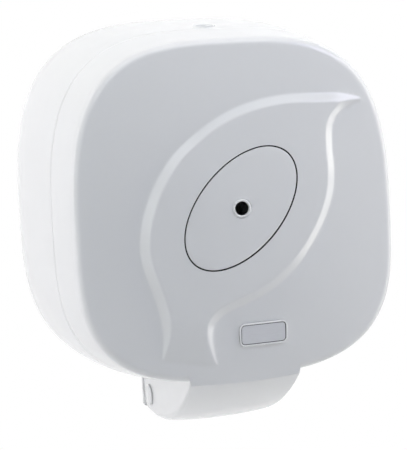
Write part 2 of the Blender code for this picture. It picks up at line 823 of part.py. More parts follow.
def build_retainer_screws(retainer_rear):
    for side, place in boss_places():
        name = "retainer_screw_upper" if side > 0 else "retainer_screw_lower"
        shank = plate_pilot_radius - clearance
        length = retainer_thickness + plate_boss_length - clearance
        build_screw(name, zinc, place + Vector((0, -retainer_rear + clearance, 0)), (0, 1, 0), shank, length,
                    plate_boss_radius - clearance, retainer_thickness)


# Nozzle

def build_nozzle():
    front = face_depth(0, plate_height) + leaf_height
    back = ledge_depth
    neck_end = front - ring_lip
    mouth = back - funnel_length
    outer = [(neck_radius, neck_end), (neck_radius, back), (flange_radius, back),
             (flange_radius, back - flange_thickness), (funnel_radius, mouth)]
    inner = [(funnel_radius - funnel_wall, mouth), (flange_radius - funnel_wall * 3 / 2, back - flange_thickness),
             (nozzle_bore, back), (nozzle_bore, neck_end)]
    bm = bmesh.new()
    add_tube(bm, [(radius, depth) for radius, depth in outer + inner])
    make_object("nozzle_funnel", bm, inner_plastic)
    lip = front + ring_proud
    ring = [(neck_radius + clearance, front - ring_skirt), (ring_radius, front - ring_skirt),
            (ring_radius, front), (ring_radius - ring_proud / 2, lip - ring_proud / 4),
            ((ring_radius + nozzle_bore) / 2, lip), (nozzle_bore + ring_proud / 3, lip - ring_proud / 3),
            (nozzle_bore, front - ring_proud / 2), (nozzle_bore, neck_end + clearance),
            (neck_radius + clearance, neck_end + clearance)]
    bm = bmesh.new()
    add_tube(bm, ring)
    make_object("nozzle_ring", bm, white_plastic)


def add_tube(bm, profile, segments=32):
    # A closed profile of (radius, depth) pairs, turned about the nozzle's axis.
    verts = [bm.verts.new((radius, -depth, plate_height)) for radius, depth in profile]
    edges = [bm.edges.new((verts[index - 1], verts[index])) for index in range(len(verts))]
    bmesh.ops.spin(bm, geom=[*verts, *edges], cent=bay_centre, axis=(0, 1, 0), angle=math.tau, steps=segments,
                   use_merge=True)
    bmesh.ops.remove_doubles(bm, verts=bm.verts, dist=merge_distance)


# Badge plate

def build_badge():
    place = face_place(badge_across, -badge_below)
    low = -badge_recess + clearance
    high = low + badge_thickness
    bm = bmesh.new()
    add_rounded_slab(bm, badge_width, badge_height, badge_corner, low, high, place)
    badge = make_object("badge_plate", bm, badge_metal)
    well = tool("badge_well", (add_rounded_slab, badge_width - 2 * badge_frame, badge_height - 2 * badge_frame,
                               badge_corner - badge_frame, high - badge_well, high + overrun, place))
    combine(badge, "DIFFERENCE", well)


# Hinge pins and clips

def build_hinge_pins():
    for side, word in ((-1, "left"), (1, "right")):
        out = Vector((side, 0, 0))
        seat = chin_half_width + clearance
        tail = lug_inner - clip_thickness - pin_tail
        profile = [(0, tail), (pin_radius - pin_head_round, tail), (pin_radius, tail + pin_head_round),
                   (pin_radius, seat), (pin_head_radius, seat),
                   (pin_head_radius, seat + pin_head_height - pin_head_round),
                   (pin_head_radius - pin_head_round, seat + pin_head_height - pin_head_round / 4),
                   (0, seat + pin_head_height)]
        bm = bmesh.new()
        add_solid_turned(bm, profile, hinge_point, out, 36)
        make_object("hinge_pin_" + word, bm, white_plastic)
        near = lug_inner - clearance
        ring = [(pin_radius + clearance, near), (clip_radius, near), (clip_radius, near - clip_thickness),
                (pin_radius + clearance, near - clip_thickness)]
        bm = bmesh.new()
        verts = [bm.verts.new(hinge_point + out * along + Vector((0, 0, radius))) for radius, along in ring]
        edges = [bm.edges.new((verts[index - 1], verts[index])) for index in range(len(verts))]
        bmesh.ops.spin(bm, geom=[*verts, *edges], cent=hinge_point, axis=out, angle=math.tau, steps=28,
                       use_merge=True)
        bmesh.ops.remove_doubles(bm, verts=bm.verts, dist=merge_distance)
        make_object("pin_clip_" + word, bm, zinc)


# Roll cradle

def build_cradle():
    # The tray's section, turned through part of a circle below the roll.
    front = seam_depth - cradle_front_gap
    outer = cradle_radius + cradle_sheet
    section = [(cradle_radius, flange_rear), (outer + cradle_flange, flange_rear),
               (outer + cradle_flange, flange_front), (outer, flange_front), (outer, front),
               (cradle_radius - cradle_lip, front), (cradle_radius - cradle_lip, front - cradle_sheet),
               (cradle_radius, front - cradle_sheet)]
    turn = Matrix.Rotation(cradle_half_angle, 3, "Y")
    bm = bmesh.new()
    down = turn @ Vector((0, 0, -1))
    verts = [bm.verts.new(bay_centre + down * radius - Vector((0, depth, 0))) for radius, depth in section]
    face = bm.faces.new(verts)
    bmesh.ops.spin(bm, geom=[face, *face.edges, *face.verts], cent=bay_centre, axis=(0, 1, 0),
                   angle=-2 * cradle_half_angle, steps=cradle_steps, use_merge=False)
    cradle = make_object("roll_cradle", bm, inner_plastic)
    ribs = []
    for side in (-1, 1):
        along = Matrix.Rotation(side * cradle_rib_angle, 3, "Y") @ Vector((0, 0, -1))
        beside = along.cross(Vector((0, 1, 0))).normalized() * (rib_thickness / 2)
        inner, tip = outer - cradle_sheet / 2, outer + cradle_flange - cradle_sheet
        rear = flange_front - cradle_sheet / 2
        corners = [(inner, rear), (tip, rear), (tip, flange_front), (outer, rear + cradle_rib_length),
                   (inner, rear + cradle_rib_length)]
        outline = [bay_centre + along * radius - Vector((0, depth, 0)) - beside for radius, depth in corners]
        ribs.append((add_prism, outline, beside * 2))
    combine(cradle, "UNION", tool("cradle_ribs", *ribs))
    holes = tool("cradle_screw_holes", *[
        (add_drum, screw_radius + 2 * screw_pilot_gap, place - Vector((0, flange_rear - overrun, 0)),
         place - Vector((0, flange_front + overrun, 0)), 20) for _, place in cradle_screw_places()])
    combine(cradle, "DIFFERENCE", holes)
    for side, place in cradle_screw_places():
        name = "cradle_screw_left" if side < 0 else "cradle_screw_right"
        build_screw(name, zinc, place - Vector((0, flange_front + clearance, 0)), (0, -1, 0), screw_radius,
                    cradle_sheet + screw_length, screw_head_radius, screw_head_height)


# Key lock

def build_lock():
    level = lock_plane()
    axis_foot = Vector((0, -lock_depth, 0))
    flange_low = level - bush_flange_thickness
    bush_low = level - bush_length
    bush = [(bush_bore, bush_low), (bush_radius, bush_low), (bush_radius, flange_low),
            (bush_flange_radius, flange_low), (bush_flange_radius, level), (bush_bore, level)]
    bm = bmesh.new()
    add_ring_about_z(bm, bush, axis_foot)
    make_object("lock_bush", bm, lock_plastic)

    nut_top = level - lock_boss_depth - clearance
    bm = bmesh.new()
    corner = nut_flat_radius / math.cos(math.pi / 6)
    bmesh.ops.create_cone(bm, cap_ends=True, segments=6, radius1=corner, radius2=corner, depth=nut_thickness,
                          matrix=Matrix.Translation(axis_foot + Vector((0, 0, nut_top - nut_thickness / 2))))
    nut = make_object("lock_nut", bm, zinc)
    combine(nut, "DIFFERENCE", tool("nut_thread", (
        add_drum, bush_radius + clearance, axis_foot + Vector((0, 0, nut_top + overrun)),
        axis_foot + Vector((0, 0, nut_top - nut_thickness - overrun)))))

    shoulder = bush_low - clearance
    tenon_low = shoulder - cam_thickness
    bm = bmesh.new()
    add_drum(bm, barrel_radius, axis_foot + Vector((0, 0, level - clearance)), axis_foot + Vector((0, 0, shoulder)), 28)
    barrel = make_object("lock_barrel", bm, lock_plastic)
    combine(barrel, "UNION", tool("barrel_tenon", (
        add_box, axis_foot + Vector((-tenon_half, -tenon_half, tenon_low)),
        axis_foot + Vector((tenon_half, tenon_half, shoulder + barrel_tail)))))
    combine(barrel, "DIFFERENCE",
            tool("key_slot", (add_box, axis_foot + Vector((-key_slot_half_width, -key_slot_half_length,
                                                           level - key_slot_depth)),
                              axis_foot + Vector((key_slot_half_width, key_slot_half_length, level + overrun)))),
            tool("cam_screw_hole", (add_drum, cam_screw_radius + clearance,
                                    axis_foot + Vector((0, 0, tenon_low - overrun)),
                                    axis_foot + Vector((0, 0, tenon_low + cam_screw_depth)), 16)))

    cam_top = shoulder - clearance
    cam_low = cam_top - cam_thickness + 2 * clearance
    bm = bmesh.new()
    add_drum(bm, cam_hub_radius, axis_foot + Vector((0, 0, cam_low)), axis_foot + Vector((0, 0, cam_top)), 28)
    cam = make_object("lock_cam", bm, zinc)
    inset = clearance
    combine(cam, "UNION", tool("cam_arm", (
        add_box, axis_foot + Vector((-cam_half_width, -cam_length, cam_low + inset)),
        axis_foot + Vector((cam_half_width, 0, cam_top - inset)))))
    combine(cam, "DIFFERENCE", tool("cam_square", (
        add_box, axis_foot + Vector((-tenon_half - clearance, -tenon_half - clearance, cam_low - overrun)),
        axis_foot + Vector((tenon_half + clearance, tenon_half + clearance, cam_top + overrun)))))

    build_screw("cam_screw", zinc, axis_foot + Vector((0, 0, tenon_low - clearance)), (0, 0, -1),
                cam_screw_radius, cam_screw_depth - clearance, cam_screw_head, cam_screw_head_height, 18)


def add_ring_about_z(bm, profile, foot):
    verts = [bm.verts.new(foot + Vector((radius, 0, level))) for radius, level in profile]
    edges = [bm.edges.new((verts[index - 1], verts[index])) for index in range(len(verts))]
    bmesh.ops.spin(bm, geom=[*verts, *edges], cent=foot, axis=(0, 0, 1), angle=math.tau, steps=32,
                   use_merge=True)
    bmesh.ops.remove_doubles(bm, verts=bm.verts, dist=merge_distance)


build_housing()
build_cover()
build_nozzle_plate()
build_retainer_screws(build_retainer())
build_nozzle()
build_badge()
build_hinge_pins()
build_cradle()
build_lock()
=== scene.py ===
import math

import bmesh
import bpy
import numpy as np
from mathutils import Matrix, Vector


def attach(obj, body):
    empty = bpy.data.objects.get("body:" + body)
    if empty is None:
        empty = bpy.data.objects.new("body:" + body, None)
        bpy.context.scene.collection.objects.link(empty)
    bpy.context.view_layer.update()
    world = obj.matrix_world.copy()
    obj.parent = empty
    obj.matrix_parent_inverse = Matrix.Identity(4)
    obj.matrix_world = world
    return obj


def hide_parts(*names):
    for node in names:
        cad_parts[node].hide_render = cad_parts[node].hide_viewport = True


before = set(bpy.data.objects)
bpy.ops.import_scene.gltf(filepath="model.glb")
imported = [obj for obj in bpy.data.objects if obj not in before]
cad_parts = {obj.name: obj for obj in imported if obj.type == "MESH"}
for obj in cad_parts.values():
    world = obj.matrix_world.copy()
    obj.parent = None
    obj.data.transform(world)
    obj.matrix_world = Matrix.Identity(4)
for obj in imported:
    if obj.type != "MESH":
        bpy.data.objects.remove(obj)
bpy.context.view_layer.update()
mm = 0.001
crack = 0.005    # gaps up to this, in millimetres, are closed


def addToScene(name, data):
    made = bpy.data.objects.new(name, data)
    bpy.context.scene.collection.objects.link(made)
    return made


# the camera comes first, as the photo was taken
camera = {
    "yaw": -15.70, "pitch": 7.11, "roll": -3.13,     # degrees
    "focal": 1385, "photoWidth": 407,                # pixels
    "distance": 1078, "target": (0.26, -60, -0.63),
}


def makeCamera(c):
    yaw, pitch, roll = (math.radians(c[key]) for key in ("yaw", "pitch", "roll"))
    back = Vector((math.sin(yaw) * math.cos(pitch), -math.cos(yaw) * math.cos(pitch), math.sin(pitch)))
    right = Vector((math.cos(yaw), math.sin(yaw), 0))
    up = right.cross(-back)
    rolledRight = right * math.cos(roll) + up * math.sin(roll)
    rolledUp = up * math.cos(roll) - right * math.sin(roll)
    data = bpy.data.cameras.new("photoCamera")
    data.sensor_fit = "HORIZONTAL"
    data.sensor_width = 36
    data.lens = c["focal"] * data.sensor_width / c["photoWidth"]
    made = addToScene("photoCamera", data)
    turn = Matrix((rolledRight, rolledUp, back)).transposed().to_4x4()
    eye = (Vector(c["target"]) + back * c["distance"]) * mm
    made.matrix_world = Matrix.Translation(eye) @ turn
    bpy.context.scene.camera = made


makeCamera(camera)
bpy.context.scene.view_settings.view_transform = "Standard"
print("camera placed")


# shader helpers: a socket that can take part in sums, and a material with its nodes

class Wire:
    def __init__(self, look, socket):
        self.look = look
        self.socket = socket

    def maths(self, operation, other):
        return self.look.node("ShaderNodeMath", {0: self, 1: other}, operation=operation)

    def __add__(self, other):
        return self.maths("ADD", other)

    def __mul__(self, other):
        return self.maths("MULTIPLY", other)


class Look:
    def __init__(self, name, fixed):
        self.material = bpy.data.materials.new(name)
        self.material.use_nodes = True
        self.tree = self.material.node_tree
        self.shader = self.tree.nodes["Principled BSDF"]
        for socket, value in fixed.items():
            self.shader.inputs[socket].default_value = value

    def node(self, kind, values=None, output=0, **settings):
        made = self.tree.nodes.new(kind)
        for name, value in settings.items():
            setattr(made, name, value)
        for key, value in (values or {}).items():
            self.feed(made.inputs[key], value)
        return Wire(self, made.outputs[output])

    def feed(self, socket, value):
        if isinstance(value, Wire):
            self.tree.links.new(value.socket, socket)
        else:
            socket.default_value = value

    def give(self, socket, value):
        self.feed(self.shader.inputs[socket], value)

    def noise(self, scale, detail=3, stretch=(1, 1, 1)):
        spot = self.node("ShaderNodeTexCoord", output="Object")
        place = self.node("ShaderNodeMapping", {"Vector": spot, "Scale": stretch})
        return self.node("ShaderNodeTexNoise", {"Vector": place, "Scale": scale, "Detail": detail,
                                                "Roughness": 0.55})

    def tint(self, factor, low, high):
        return self.node("ShaderNodeMix", {0: factor, 6: (*low, 1), 7: (*high, 1)}, output=2,
                         data_type="RGBA")

    def bump(self, height, strength, distance):
        self.give("Normal", self.node("ShaderNodeBump", {"Height": height, "Strength": strength,
                                                         "Distance": distance}))


plastics = {
    "glossWhite": {"low": (0.885, 0.885, 0.892), "high": (0.905, 0.905, 0.910), "roughness": 0.17,
                   "spread": 0.07, "grain": 900, "depth": 0.10},
    "satinWhite": {"low": (0.80, 0.80, 0.80), "high": (0.84, 0.84, 0.835), "roughness": 0.42,
                   "spread": 0.10, "grain": 1500, "depth": 0.25},
    "palePlastic": {"low": (0.88, 0.88, 0.885), "high": (0.90, 0.90, 0.905), "roughness": 0.30,
                    "spread": 0.08, "grain": 1200, "depth": 0.15},
    # painted shade: near-black, standing in for the shade in the gap round the nozzle plate and inside the
    # nozzle's hole
    "paintedShade": {"low": (0.004, 0.004, 0.005), "high": (0.008, 0.008, 0.009), "roughness": 0.6,
                  "spread": 0.1, "grain": 1500, "depth": 0.1},
    # painted shade: near-black in the badge's groove, standing in for the shade there
    "paintedGrooveShade": {"low": (0.045, 0.045, 0.055), "high": (0.07, 0.07, 0.08), "roughness": 0.35,
                 "spread": 0.08, "grain": 1500, "depth": 0.1},
}
metals = {
    "zincCoat": {"low": (0.55, 0.56, 0.58), "high": (0.70, 0.71, 0.73), "roughness": 0.34,
                 "spread": 0.16, "grain": 500, "stretch": (1, 1, 1), "metallic": 1.0},
    "badgeSilver": {"low": (0.61, 0.62, 0.66), "high": (0.70, 0.71, 0.75), "roughness": 0.36,
                    "spread": 0.16, "grain": 220, "stretch": (1, 1, 14), "metallic": 0.35},
    "badgeRim": {"low": (0.90, 0.90, 0.92), "high": (0.95, 0.95, 0.96), "roughness": 0.22,
                 "spread": 0.16, "grain": 300, "stretch": (1, 1, 1), "metallic": 0.15},
}
mottle = {"colour": 14, "gloss": 55, "rippleDepth": 0.02, "scratch": 0.12, "scratchDepth": 0.03}


def makePlastic(name, p):
    # moulded plastic: broad mottle in colour and gloss, and the faint ripple of the mould's surface
    look = Look(name, {"Specular IOR Level": 0.5, "IOR": 1.5})
    look.give("Base Color", look.tint(look.noise(mottle["colour"]), p["low"], p["high"]))
    look.give("Roughness", look.noise(mottle["gloss"]) * p["spread"] + (p["roughness"] - p["spread"] / 2))
    look.bump(look.noise(p["grain"], 2), p["depth"], mottle["rippleDepth"] * mm)
    return look.material


def makeMetal(name, p):
    # plated or brushed metal: streaks in gloss and tone
    look = Look(name, {"Metallic": p["metallic"]})
    streak = look.noise(p["grain"], 4, p["stretch"])
    look.give("Base Color", look.tint(streak, p["low"], p["high"]))
    look.give("Roughness", streak * p["spread"] + (p["roughness"] - p["spread"] / 2))
    look.bump(streak, mottle["scratch"], mottle["scratchDepth"] * mm)
    return look.material


finishes = {name: makePlastic(name, p) for name, p in plastics.items()}
finishes.update({name: makeMetal(name, p) for name, p in metals.items()})
print("materials made")


# modelling helpers

def makeSheet(bm, columns, rows, place, bands=None):
    # a grid whose points go where place(column, row) says, its rows in the finishes of bands
    grid = bmesh.ops.create_grid(bm, x_segments=columns, y_segments=rows, size=0.5)
    if bands:
        for face in {face for vert in grid["verts"] for face in vert.link_faces}:
            face.material_index = bands[int((face.calc_center_median().y + 0.5) * rows)]
    for vert in grid["verts"]:
        vert.co = place(round((vert.co.x + 0.5) * columns), round((vert.co.y + 0.5) * rows))
    return grid["verts"]


def makeObject(name, bm, material):
    # from millimetres to metres, into an object of its own; settle later makes it smooth but for its sharp
    # edges
    bmesh.ops.scale(bm, verts=bm.verts, vec=(mm, mm, mm))
    mesh = bpy.data.meshes.new(name)
    bm.to_mesh(mesh)
    bm.free()
    if material:
        mesh.materials.append(finishes[material])
    return addToScene(name, mesh)


def addModifier(piece, kind, **settings):
    made = piece.modifiers.new(kind.lower(), kind)
    for name, value in settings.items():
        setattr(made, name, value)


def settle(piece, sharp=32):
    # applies the modifiers, takes the cutters away, closes hair cracks and sets the shading
    tools = [modifier.object for modifier in piece.modifiers if modifier.type == "BOOLEAN"]
    graph = bpy.context.evaluated_depsgraph_get()
    mesh = bpy.data.meshes.new_from_object(piece.evaluated_get(graph))
    piece.modifiers.clear()
    piece.data = mesh
    for tool in tools:
        bpy.data.objects.remove(tool)
    bm = bmesh.new()
    bm.from_mesh(mesh)
    bmesh.ops.remove_doubles(bm, verts=bm.verts, dist=crack * mm)
    bmesh.ops.dissolve_degenerate(bm, dist=crack * mm / 5, edges=bm.edges)
    bmesh.ops.holes_fill(bm, edges=[edge for edge in bm.edges if edge.is_boundary], sides=12)
    bm.to_mesh(mesh)
    bm.free()
    mesh.shade_smooth()
    mesh.set_sharp_from_angle(angle=math.radians(sharp))


def weld(bm, gap=0.001):
    # makes one of points that fall together
    bmesh.ops.remove_doubles(bm, verts=bm.verts, dist=gap)


def pointOut(bm, way):
    # makes the normals agree, so that the farthest face along way looks that way
    bmesh.ops.recalc_face_normals(bm, faces=bm.faces)
    way = Vector(way)
    farthest = max(bm.faces, key=lambda face: face.calc_center_median().dot(way))
    if farthest.normal.dot(way) < 0:
        bmesh.ops.reverse_faces(bm, faces=bm.faces)


def addJoined(piece, operation, *calls):
    # one solid made by several calls, which is cut from the piece or joined to it
    made = bmesh.new()
    for call, *details in calls:
        call(made, *details)
    tool = makeObject("tool", made, None)
    addModifier(piece, "BOOLEAN", operation=operation, object=tool, solver="EXACT")


def put(piece, body, replaced, sharp=None):
    if sharp is not None:
        settle(piece, sharp=sharp)
    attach(piece, body)
    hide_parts(*replaced)


def bevelSharp(bm, verts, soft, segments=3, angle=0.6):
    # softens the sharp edges among these vertices
    chosen = set(verts)
    edges = [edge for edge in bm.edges if edge.verts[0] in chosen and edge.verts[1] in chosen
             and len(edge.link_faces) == 2 and edge.calc_face_angle(0) > angle]
    bmesh.ops.bevel(bm, geom=edges, offset=soft, segments=segments, profile=0.5, affect="EDGES",
                    material=-1)


def addBlock(bm, low, high, soft=0.0):
    low, high = Vector(low), Vector(high)
    place = Matrix.Translation((low + high) / 2) @ Matrix.Diagonal((*(high - low), 1))
    made = bmesh.ops.create_cube(bm, size=1, matrix=place)["verts"]
    if soft:
        bevelSharp(bm, made, soft)


def addRod(bm, radius, start, end, soft=0.0, segments=48, farRadius=None):
    start, end = Vector(start), Vector(end)
    run = end - start
    place = Matrix.Translation((start + end) / 2) @ run.to_track_quat("Z", "Y").to_matrix().to_4x4()
    made = bmesh.ops.create_cone(bm, cap_ends=True, segments=segments, radius1=radius,
                                 radius2=farRadius or radius, depth=run.length, matrix=place)["verts"]
    if soft:
        bevelSharp(bm, made, soft)


def addPlate(bm, outline, run, soft=0.0):
    # an outline in space drawn out along a vector
    verts = [bm.verts.new(point) for point in outline]
    face = bm.faces.new(verts)
    drawn = bmesh.ops.extrude_face_region(bm, geom=[face])["geom"]
    moved = [item for item in drawn if isinstance(item, bmesh.types.BMVert)]
    bmesh.ops.translate(bm, verts=moved, vec=run)
    made = verts + moved
    bmesh.ops.recalc_face_normals(bm, faces=list({face for vert in made for face in vert.link_faces}))
    if soft:
        bevelSharp(bm, made, soft)


def addSpin(bm, profile, centre, axis, closed, segments=96):
    # a profile of (radius, place along the axis), turned right round
    axis = Vector(axis)
    side = Vector((0, 0, 1)) if abs(axis.z) < 0.5 else Vector((1, 0, 0))
    verts = [bm.verts.new(Vector(centre) + side * radius + axis * along) for radius, along in profile]
    pairs = list(zip(verts, verts[1:])) + ([(verts[-1], verts[0])] if closed else [])
    edges = [bm.edges.new(pair) for pair in pairs]
    bmesh.ops.spin(bm, geom=[*verts, *edges], cent=centre, axis=axis, angle=math.tau, steps=segments,
                   use_merge=True)
    weld(bm, crack / 10)
    bmesh.ops.recalc_face_normals(bm, faces=bm.faces)


def arc(centre, radius, start, end, steps):
    # points on an arc, as pairs
    angles = [math.radians(start + (end - start) * step / steps) for step in range(steps + 1)]
    return [(centre[0] + radius * math.cos(a), centre[1] + radius * math.sin(a)) for a in angles]


def smooth(value):
    value = min(1, max(0, value))
    return value * value * (3 - 2 * value)


# outline of the two shells

body = {
    "halfWidth": 135, "top": 160, "bottom": 120,
    "sideInset": 15.5, "topInset": 18, "bottomInset": 17, "taper": 1.7,
    "topPower": 3.2, "rearLowPower": 2.7, "frontLowPower": 3.0,
    "rimDepth": 147, "rim": 6, "rimLean": (0.18, 0.12), "rimPull": 0.56,
    "crown": 7, "seam": 107, "seamGap": 0.6, "wall": 3,
}


def reach(depth, inset=0.0):
    # half width, height above and below, and how square the lower half is
    share = (depth / body["rimDepth"]) ** body["taper"]
    sizes = [body[full] - body[less] * share - inset for full, less in
             (("halfWidth", "sideInset"), ("top", "topInset"), ("bottom", "bottomInset"))]
    powerRun = body["frontLowPower"] - body["rearLowPower"]
    return (*sizes, body["rearLowPower"] + powerRun * depth / body["rimDepth"])


faceEdge = body["rimDepth"] + body["rim"]
faceReach = reach(body["rimDepth"], body["rim"])


def outlinePoint(angle, size):
    across, top, bottom, lowPower = size
    cosine, sine = math.cos(angle), math.sin(angle)
    height, power = (top, body["topPower"]) if sine >= 0 else (bottom, lowPower)
    radius = (abs(cosine / across) ** power + abs(sine / height) ** power) ** (-1 / power)
    return radius * cosine, radius * sine


def lowEdge(across, size):
    return -size[2] * (1 - (abs(across) / size[0]) ** size[3]) ** (1 / size[3])


def domeDepth(x, z):
    # how far out the crowned face lies, also a little beyond its edge
    x, z = np.asarray(x, float), np.asarray(z, float)
    height = np.where(z >= 0, faceReach[1], faceReach[2])
    power = np.where(z >= 0, body["topPower"], body["frontLowPower"])
    share = (np.abs(x / faceReach[0]) ** power + np.abs(z / height) ** power) ** (2 / power)
    return faceEdge + body["crown"] * (1 - share)


def rimCurve(steps):
    # (inset, depth) from the side wall round to the face, level with both at its ends
    start, end = Vector((0, body["rimDepth"])), Vector((body["rim"], faceEdge))
    first, last = (Vector(way).normalized() * body["rim"] * body["rimPull"]
                   for way in ((body["rimLean"][0], 1), (1, body["rimLean"][1])))
    return [start * (1 - t) ** 3 + (start + first) * 3 * t * (1 - t) ** 2
            + (end - last) * 3 * t * t * (1 - t) + end * t ** 3
            for t in (step / steps for step in range(steps + 1))]


# leaf raised on the face

leaf = {
    "height": 3.5, "band": 8.2, "fillet": 0.2,
    "fadeEnd": -83, "fadeTilt": 0.2, "fadeRun": 31, "fadePower": 0.62,
    "left": ((-62.6, -100), (-62.3, -82), (-61.6, -67.3), (-61.8, -60), (-64.3, -44.8),
             (-68.6, -30.1), (-73, -15.9), (-74.8, -1.6), (-73.4, 12.7), (-69.5, 26.6),
             (-63.7, 40.3), (-55.3, 53.7), (-43.8, 66.9), (-26.5, 80.2), (-11.2, 89), (4.2, 94.9),
             (19.4, 98.7), (34.7, 100.6), (50, 100.9), (65.4, 100.3), (79, 99.6), (92.8, 96.6),
             (104.5, 93)),
    "right": ((104.5, 93), (98, 90.8), (91, 88.9), (84.4, 86.3), (79.6, 82.6), (76.2, 78.4),
              (74, 71.5), (73.5, 57.8), (74.2, 43.2), (72.6, 28.7), (67.9, 14.4), (60.6, 0.3),
              (51.1, -13.4), (42.1, -23.6), (35.2, -29.6), (23.7, -38.1), (12, -44.1),
              (0.6, -48.3), (-10.8, -52.3), (-17, -55.6), (-21.4, -60.8), (-23.2, -67.5),
              (-23, -75), (-22.2, -82.5), (-20.8, -90), (-19, -100)),
}


def smoothLine(points, steps=12):
    # a smooth curve through points
    points = [Vector(point) for point in points]
    ends = [points[0] * 2 - points[1], *points, points[-1] * 2 - points[-2]]
    line = []
    for before, first, second, after in zip(ends, ends[1:], ends[2:], ends[3:]):
        for step in range(steps):
            t = step / steps
            line.append((first * 2 + (second - before) * t
                         + (before * 2 - first * 5 + second * 4 - after) * t * t
                         + (first * 3 - before - second * 3 + after) * t ** 3) / 2)
    return line + [points[-1]]


leafLeft = smoothLine(leaf["left"])
leafRight = smoothLine(leaf["right"])
leafLine = np.array([tuple(point) for point in leafLeft + leafRight[1:]])


def leafFade(x, z):
    # the leaf narrows and sinks towards its foot, lower on the right
    end = leaf["fadeEnd"] - leaf["fadeTilt"] * (np.asarray(x) - leaf["left"][0][0])
    return np.clip((np.asarray(z) - end) / leaf["fadeRun"], 0, 1) ** leaf["fadePower"]


def leafInside(x, z):
    # signed distance in from the leaf's outer edge
    x, z = np.asarray(x, float), np.asarray(z, float)
    nearest = np.full(x.shape, 1e9)
    crossings = np.zeros(x.shape, int)
    for (x0, z0), (x1, z1) in zip(leafLine, leafLine[1:]):
        runX, runZ = x1 - x0, z1 - z0
        along = np.clip(((x - x0) * runX + (z - z0) * runZ) / (runX ** 2 + runZ ** 2), 0, 1)
        nearest = np.minimum(nearest, np.hypot(x - x0 - along * runX, z - z0 - along * runZ))
        if z0 != z1:
            crossings += ((z0 > z) != (z1 > z)) & (x < x0 + (z - z0) * runX / runZ)
    return np.where(crossings % 2 == 1, nearest, -nearest)


def leafHeight(x, z):
    # the band rises with a small curve at its foot and one at its top
    fade = leafFade(x, z)
    share = np.clip(leafInside(x, z) / np.maximum(leaf["band"] * fade, 0.01), 0, 1)
    soft = leaf["fillet"]
    slope = 1 / (1 - soft)
    foot, flank = slope * share ** 2 / (2 * soft), slope * (share - soft / 2)
    top = 1 - slope * (1 - share) ** 2 / (2 * soft)
    return leaf["height"] * fade * np.where(share < soft, foot, np.where(share < 1 - soft, flank, top))


def faceSurface(x, z):
    return domeDepth(x, z) + leafHeight(x, z)


# front cover: face, rim, sides and chin are one skin, given its wall afterwards

nozzlePlate = {
    "long": 51.4, "short": 30.3, "turn": 45, "height": 22, "gap": 1.0, "ledge": 5, "ledgeDepth": 159,
}
cover = {
    "outlineColumns": 232, "sideColumns": 6, "cornerColumns": 6, "bottomColumns": 28, "faceRows": 46,
    "sideRows": (107.95, 112, 117, 122, 127, 132, 137, 142, 147), "rimSteps": 10, "slantSteps": 4,
    "seamSoft": 0.35, "leafCells": (1.6, 1.1), "leafMargin": 1.5, "faceMargin": 0.35,
}
chin = {
    "halfWidth": 42, "base": -153.5, "flatEnd": 32, "power": 2.1,
    "lipDepth": 152, "lipHeight": -104, "lipRound": 1.8, "lipStart": 0.5, "lipFace": (0.988, 0.153),
    "lipSag": 1.5, "baseSag": 2.5, "sagInset": 3,
    "cornerLip": 1.8, "cornerBase": 5.2, "cornerRear": 3, "frontRun": (151, 75), "rearRun": (26, 40),
    "hinge": (24, -138.9945), "cheekRound": 19.4945, "roofDrop": 2,
    "rows": (107.6, 102, 96, 90, 84, 78, 72, 66, 60, 55, 50, 45, 40, 36, 32, 29, 26),
    "cheekRows": (26, 22, 18, 14.5, 12, 9.5, 7.5, 6, 5, 4.6),
}


def chinProfile(depth):
    # height of the underside and how far it leans: one curve, steepest at the lip, flat at the rear
    run, fall = chin["lipDepth"] - chin["flatEnd"], chin["lipHeight"] - chin["base"]
    share = max(0.0, (depth - chin["flatEnd"]) / run)
    lean = math.atan(fall / run * chin["power"] * share ** (chin["power"] - 1))
    return chin["base"] + fall * share ** chin["power"], lean


def chinCorner(depth):
    # the radius between cheek and underside, smaller at the lip and at the rear
    lip, base, rear = chin["cornerLip"], chin["cornerBase"], chin["cornerRear"]
    (frontEnd, frontRun), (rearEnd, rearRun) = chin["frontRun"], chin["rearRun"]
    return min(lip + (base - lip) * smooth((frontEnd - depth) / frontRun),
               rear + (base - rear) * smooth((depth - rearEnd) / rearRun))


def chinSag(height):
    share = min(1, max(0, (chin["lipHeight"] - height) / (chin["lipHeight"] - chin["base"])))
    return chin["lipSag"] + (chin["baseSag"] - chin["lipSag"]) * share


def chinBow(across, sag):
    # how far the underside hangs below its corners
    return sag * max(0, 1 - (across / (chin["halfWidth"] - chin["sagInset"])) ** 2)


def chinRun(column):
    # which stretch of the chin's section a column is on: side, corner or bottom, and how far along
    side, corner, bottom = cover["sideColumns"], cover["cornerColumns"], cover["bottomColumns"]
    total = 2 * (side + corner) + bottom
    flip = -1
    if column > total / 2:
        column, flip = total - column, 1
    if column <= side:
        return "side", column / side, flip
    if column <= side + corner:
        return "corner", (column - side) / corner, flip
    return "bottom", (column - side - corner) / bottom, flip


def cheekSpot(spot, share, junction):
    # the side columns go from the shell's edge, over a small drop, down to the corner
    edge = Vector((math.copysign(chin["halfWidth"], spot.x), *junction))
    if share == 0:
        return edge
    step = 1 / cover["sideColumns"]
    return (edge - Vector((0, 0, chin["roofDrop"]))).lerp(spot, (share - step) / (1 - step))


def chinSection(column, depth, height, lean, corner, junction):
    # a point of the section: cheek, rounded corner and bowed bottom
    part, share, flip = chinRun(column)
    half = chin["halfWidth"]
    if part == "bottom":
        across = (half - corner) * (1 - 2 * share)
        return Vector((flip * across, -depth, height - chinBow(across, chinSag(height))))
    turn = math.pi / 2 * (share if part == "corner" else 0)
    inward = corner * (1 - math.sin(turn))
    spot = Vector((flip * (half - corner * (1 - math.cos(turn))), -(depth - inward * math.sin(lean)),
                   height + inward * math.cos(lean)))
    return cheekSpot(spot, share, junction) if part == "side" else spot


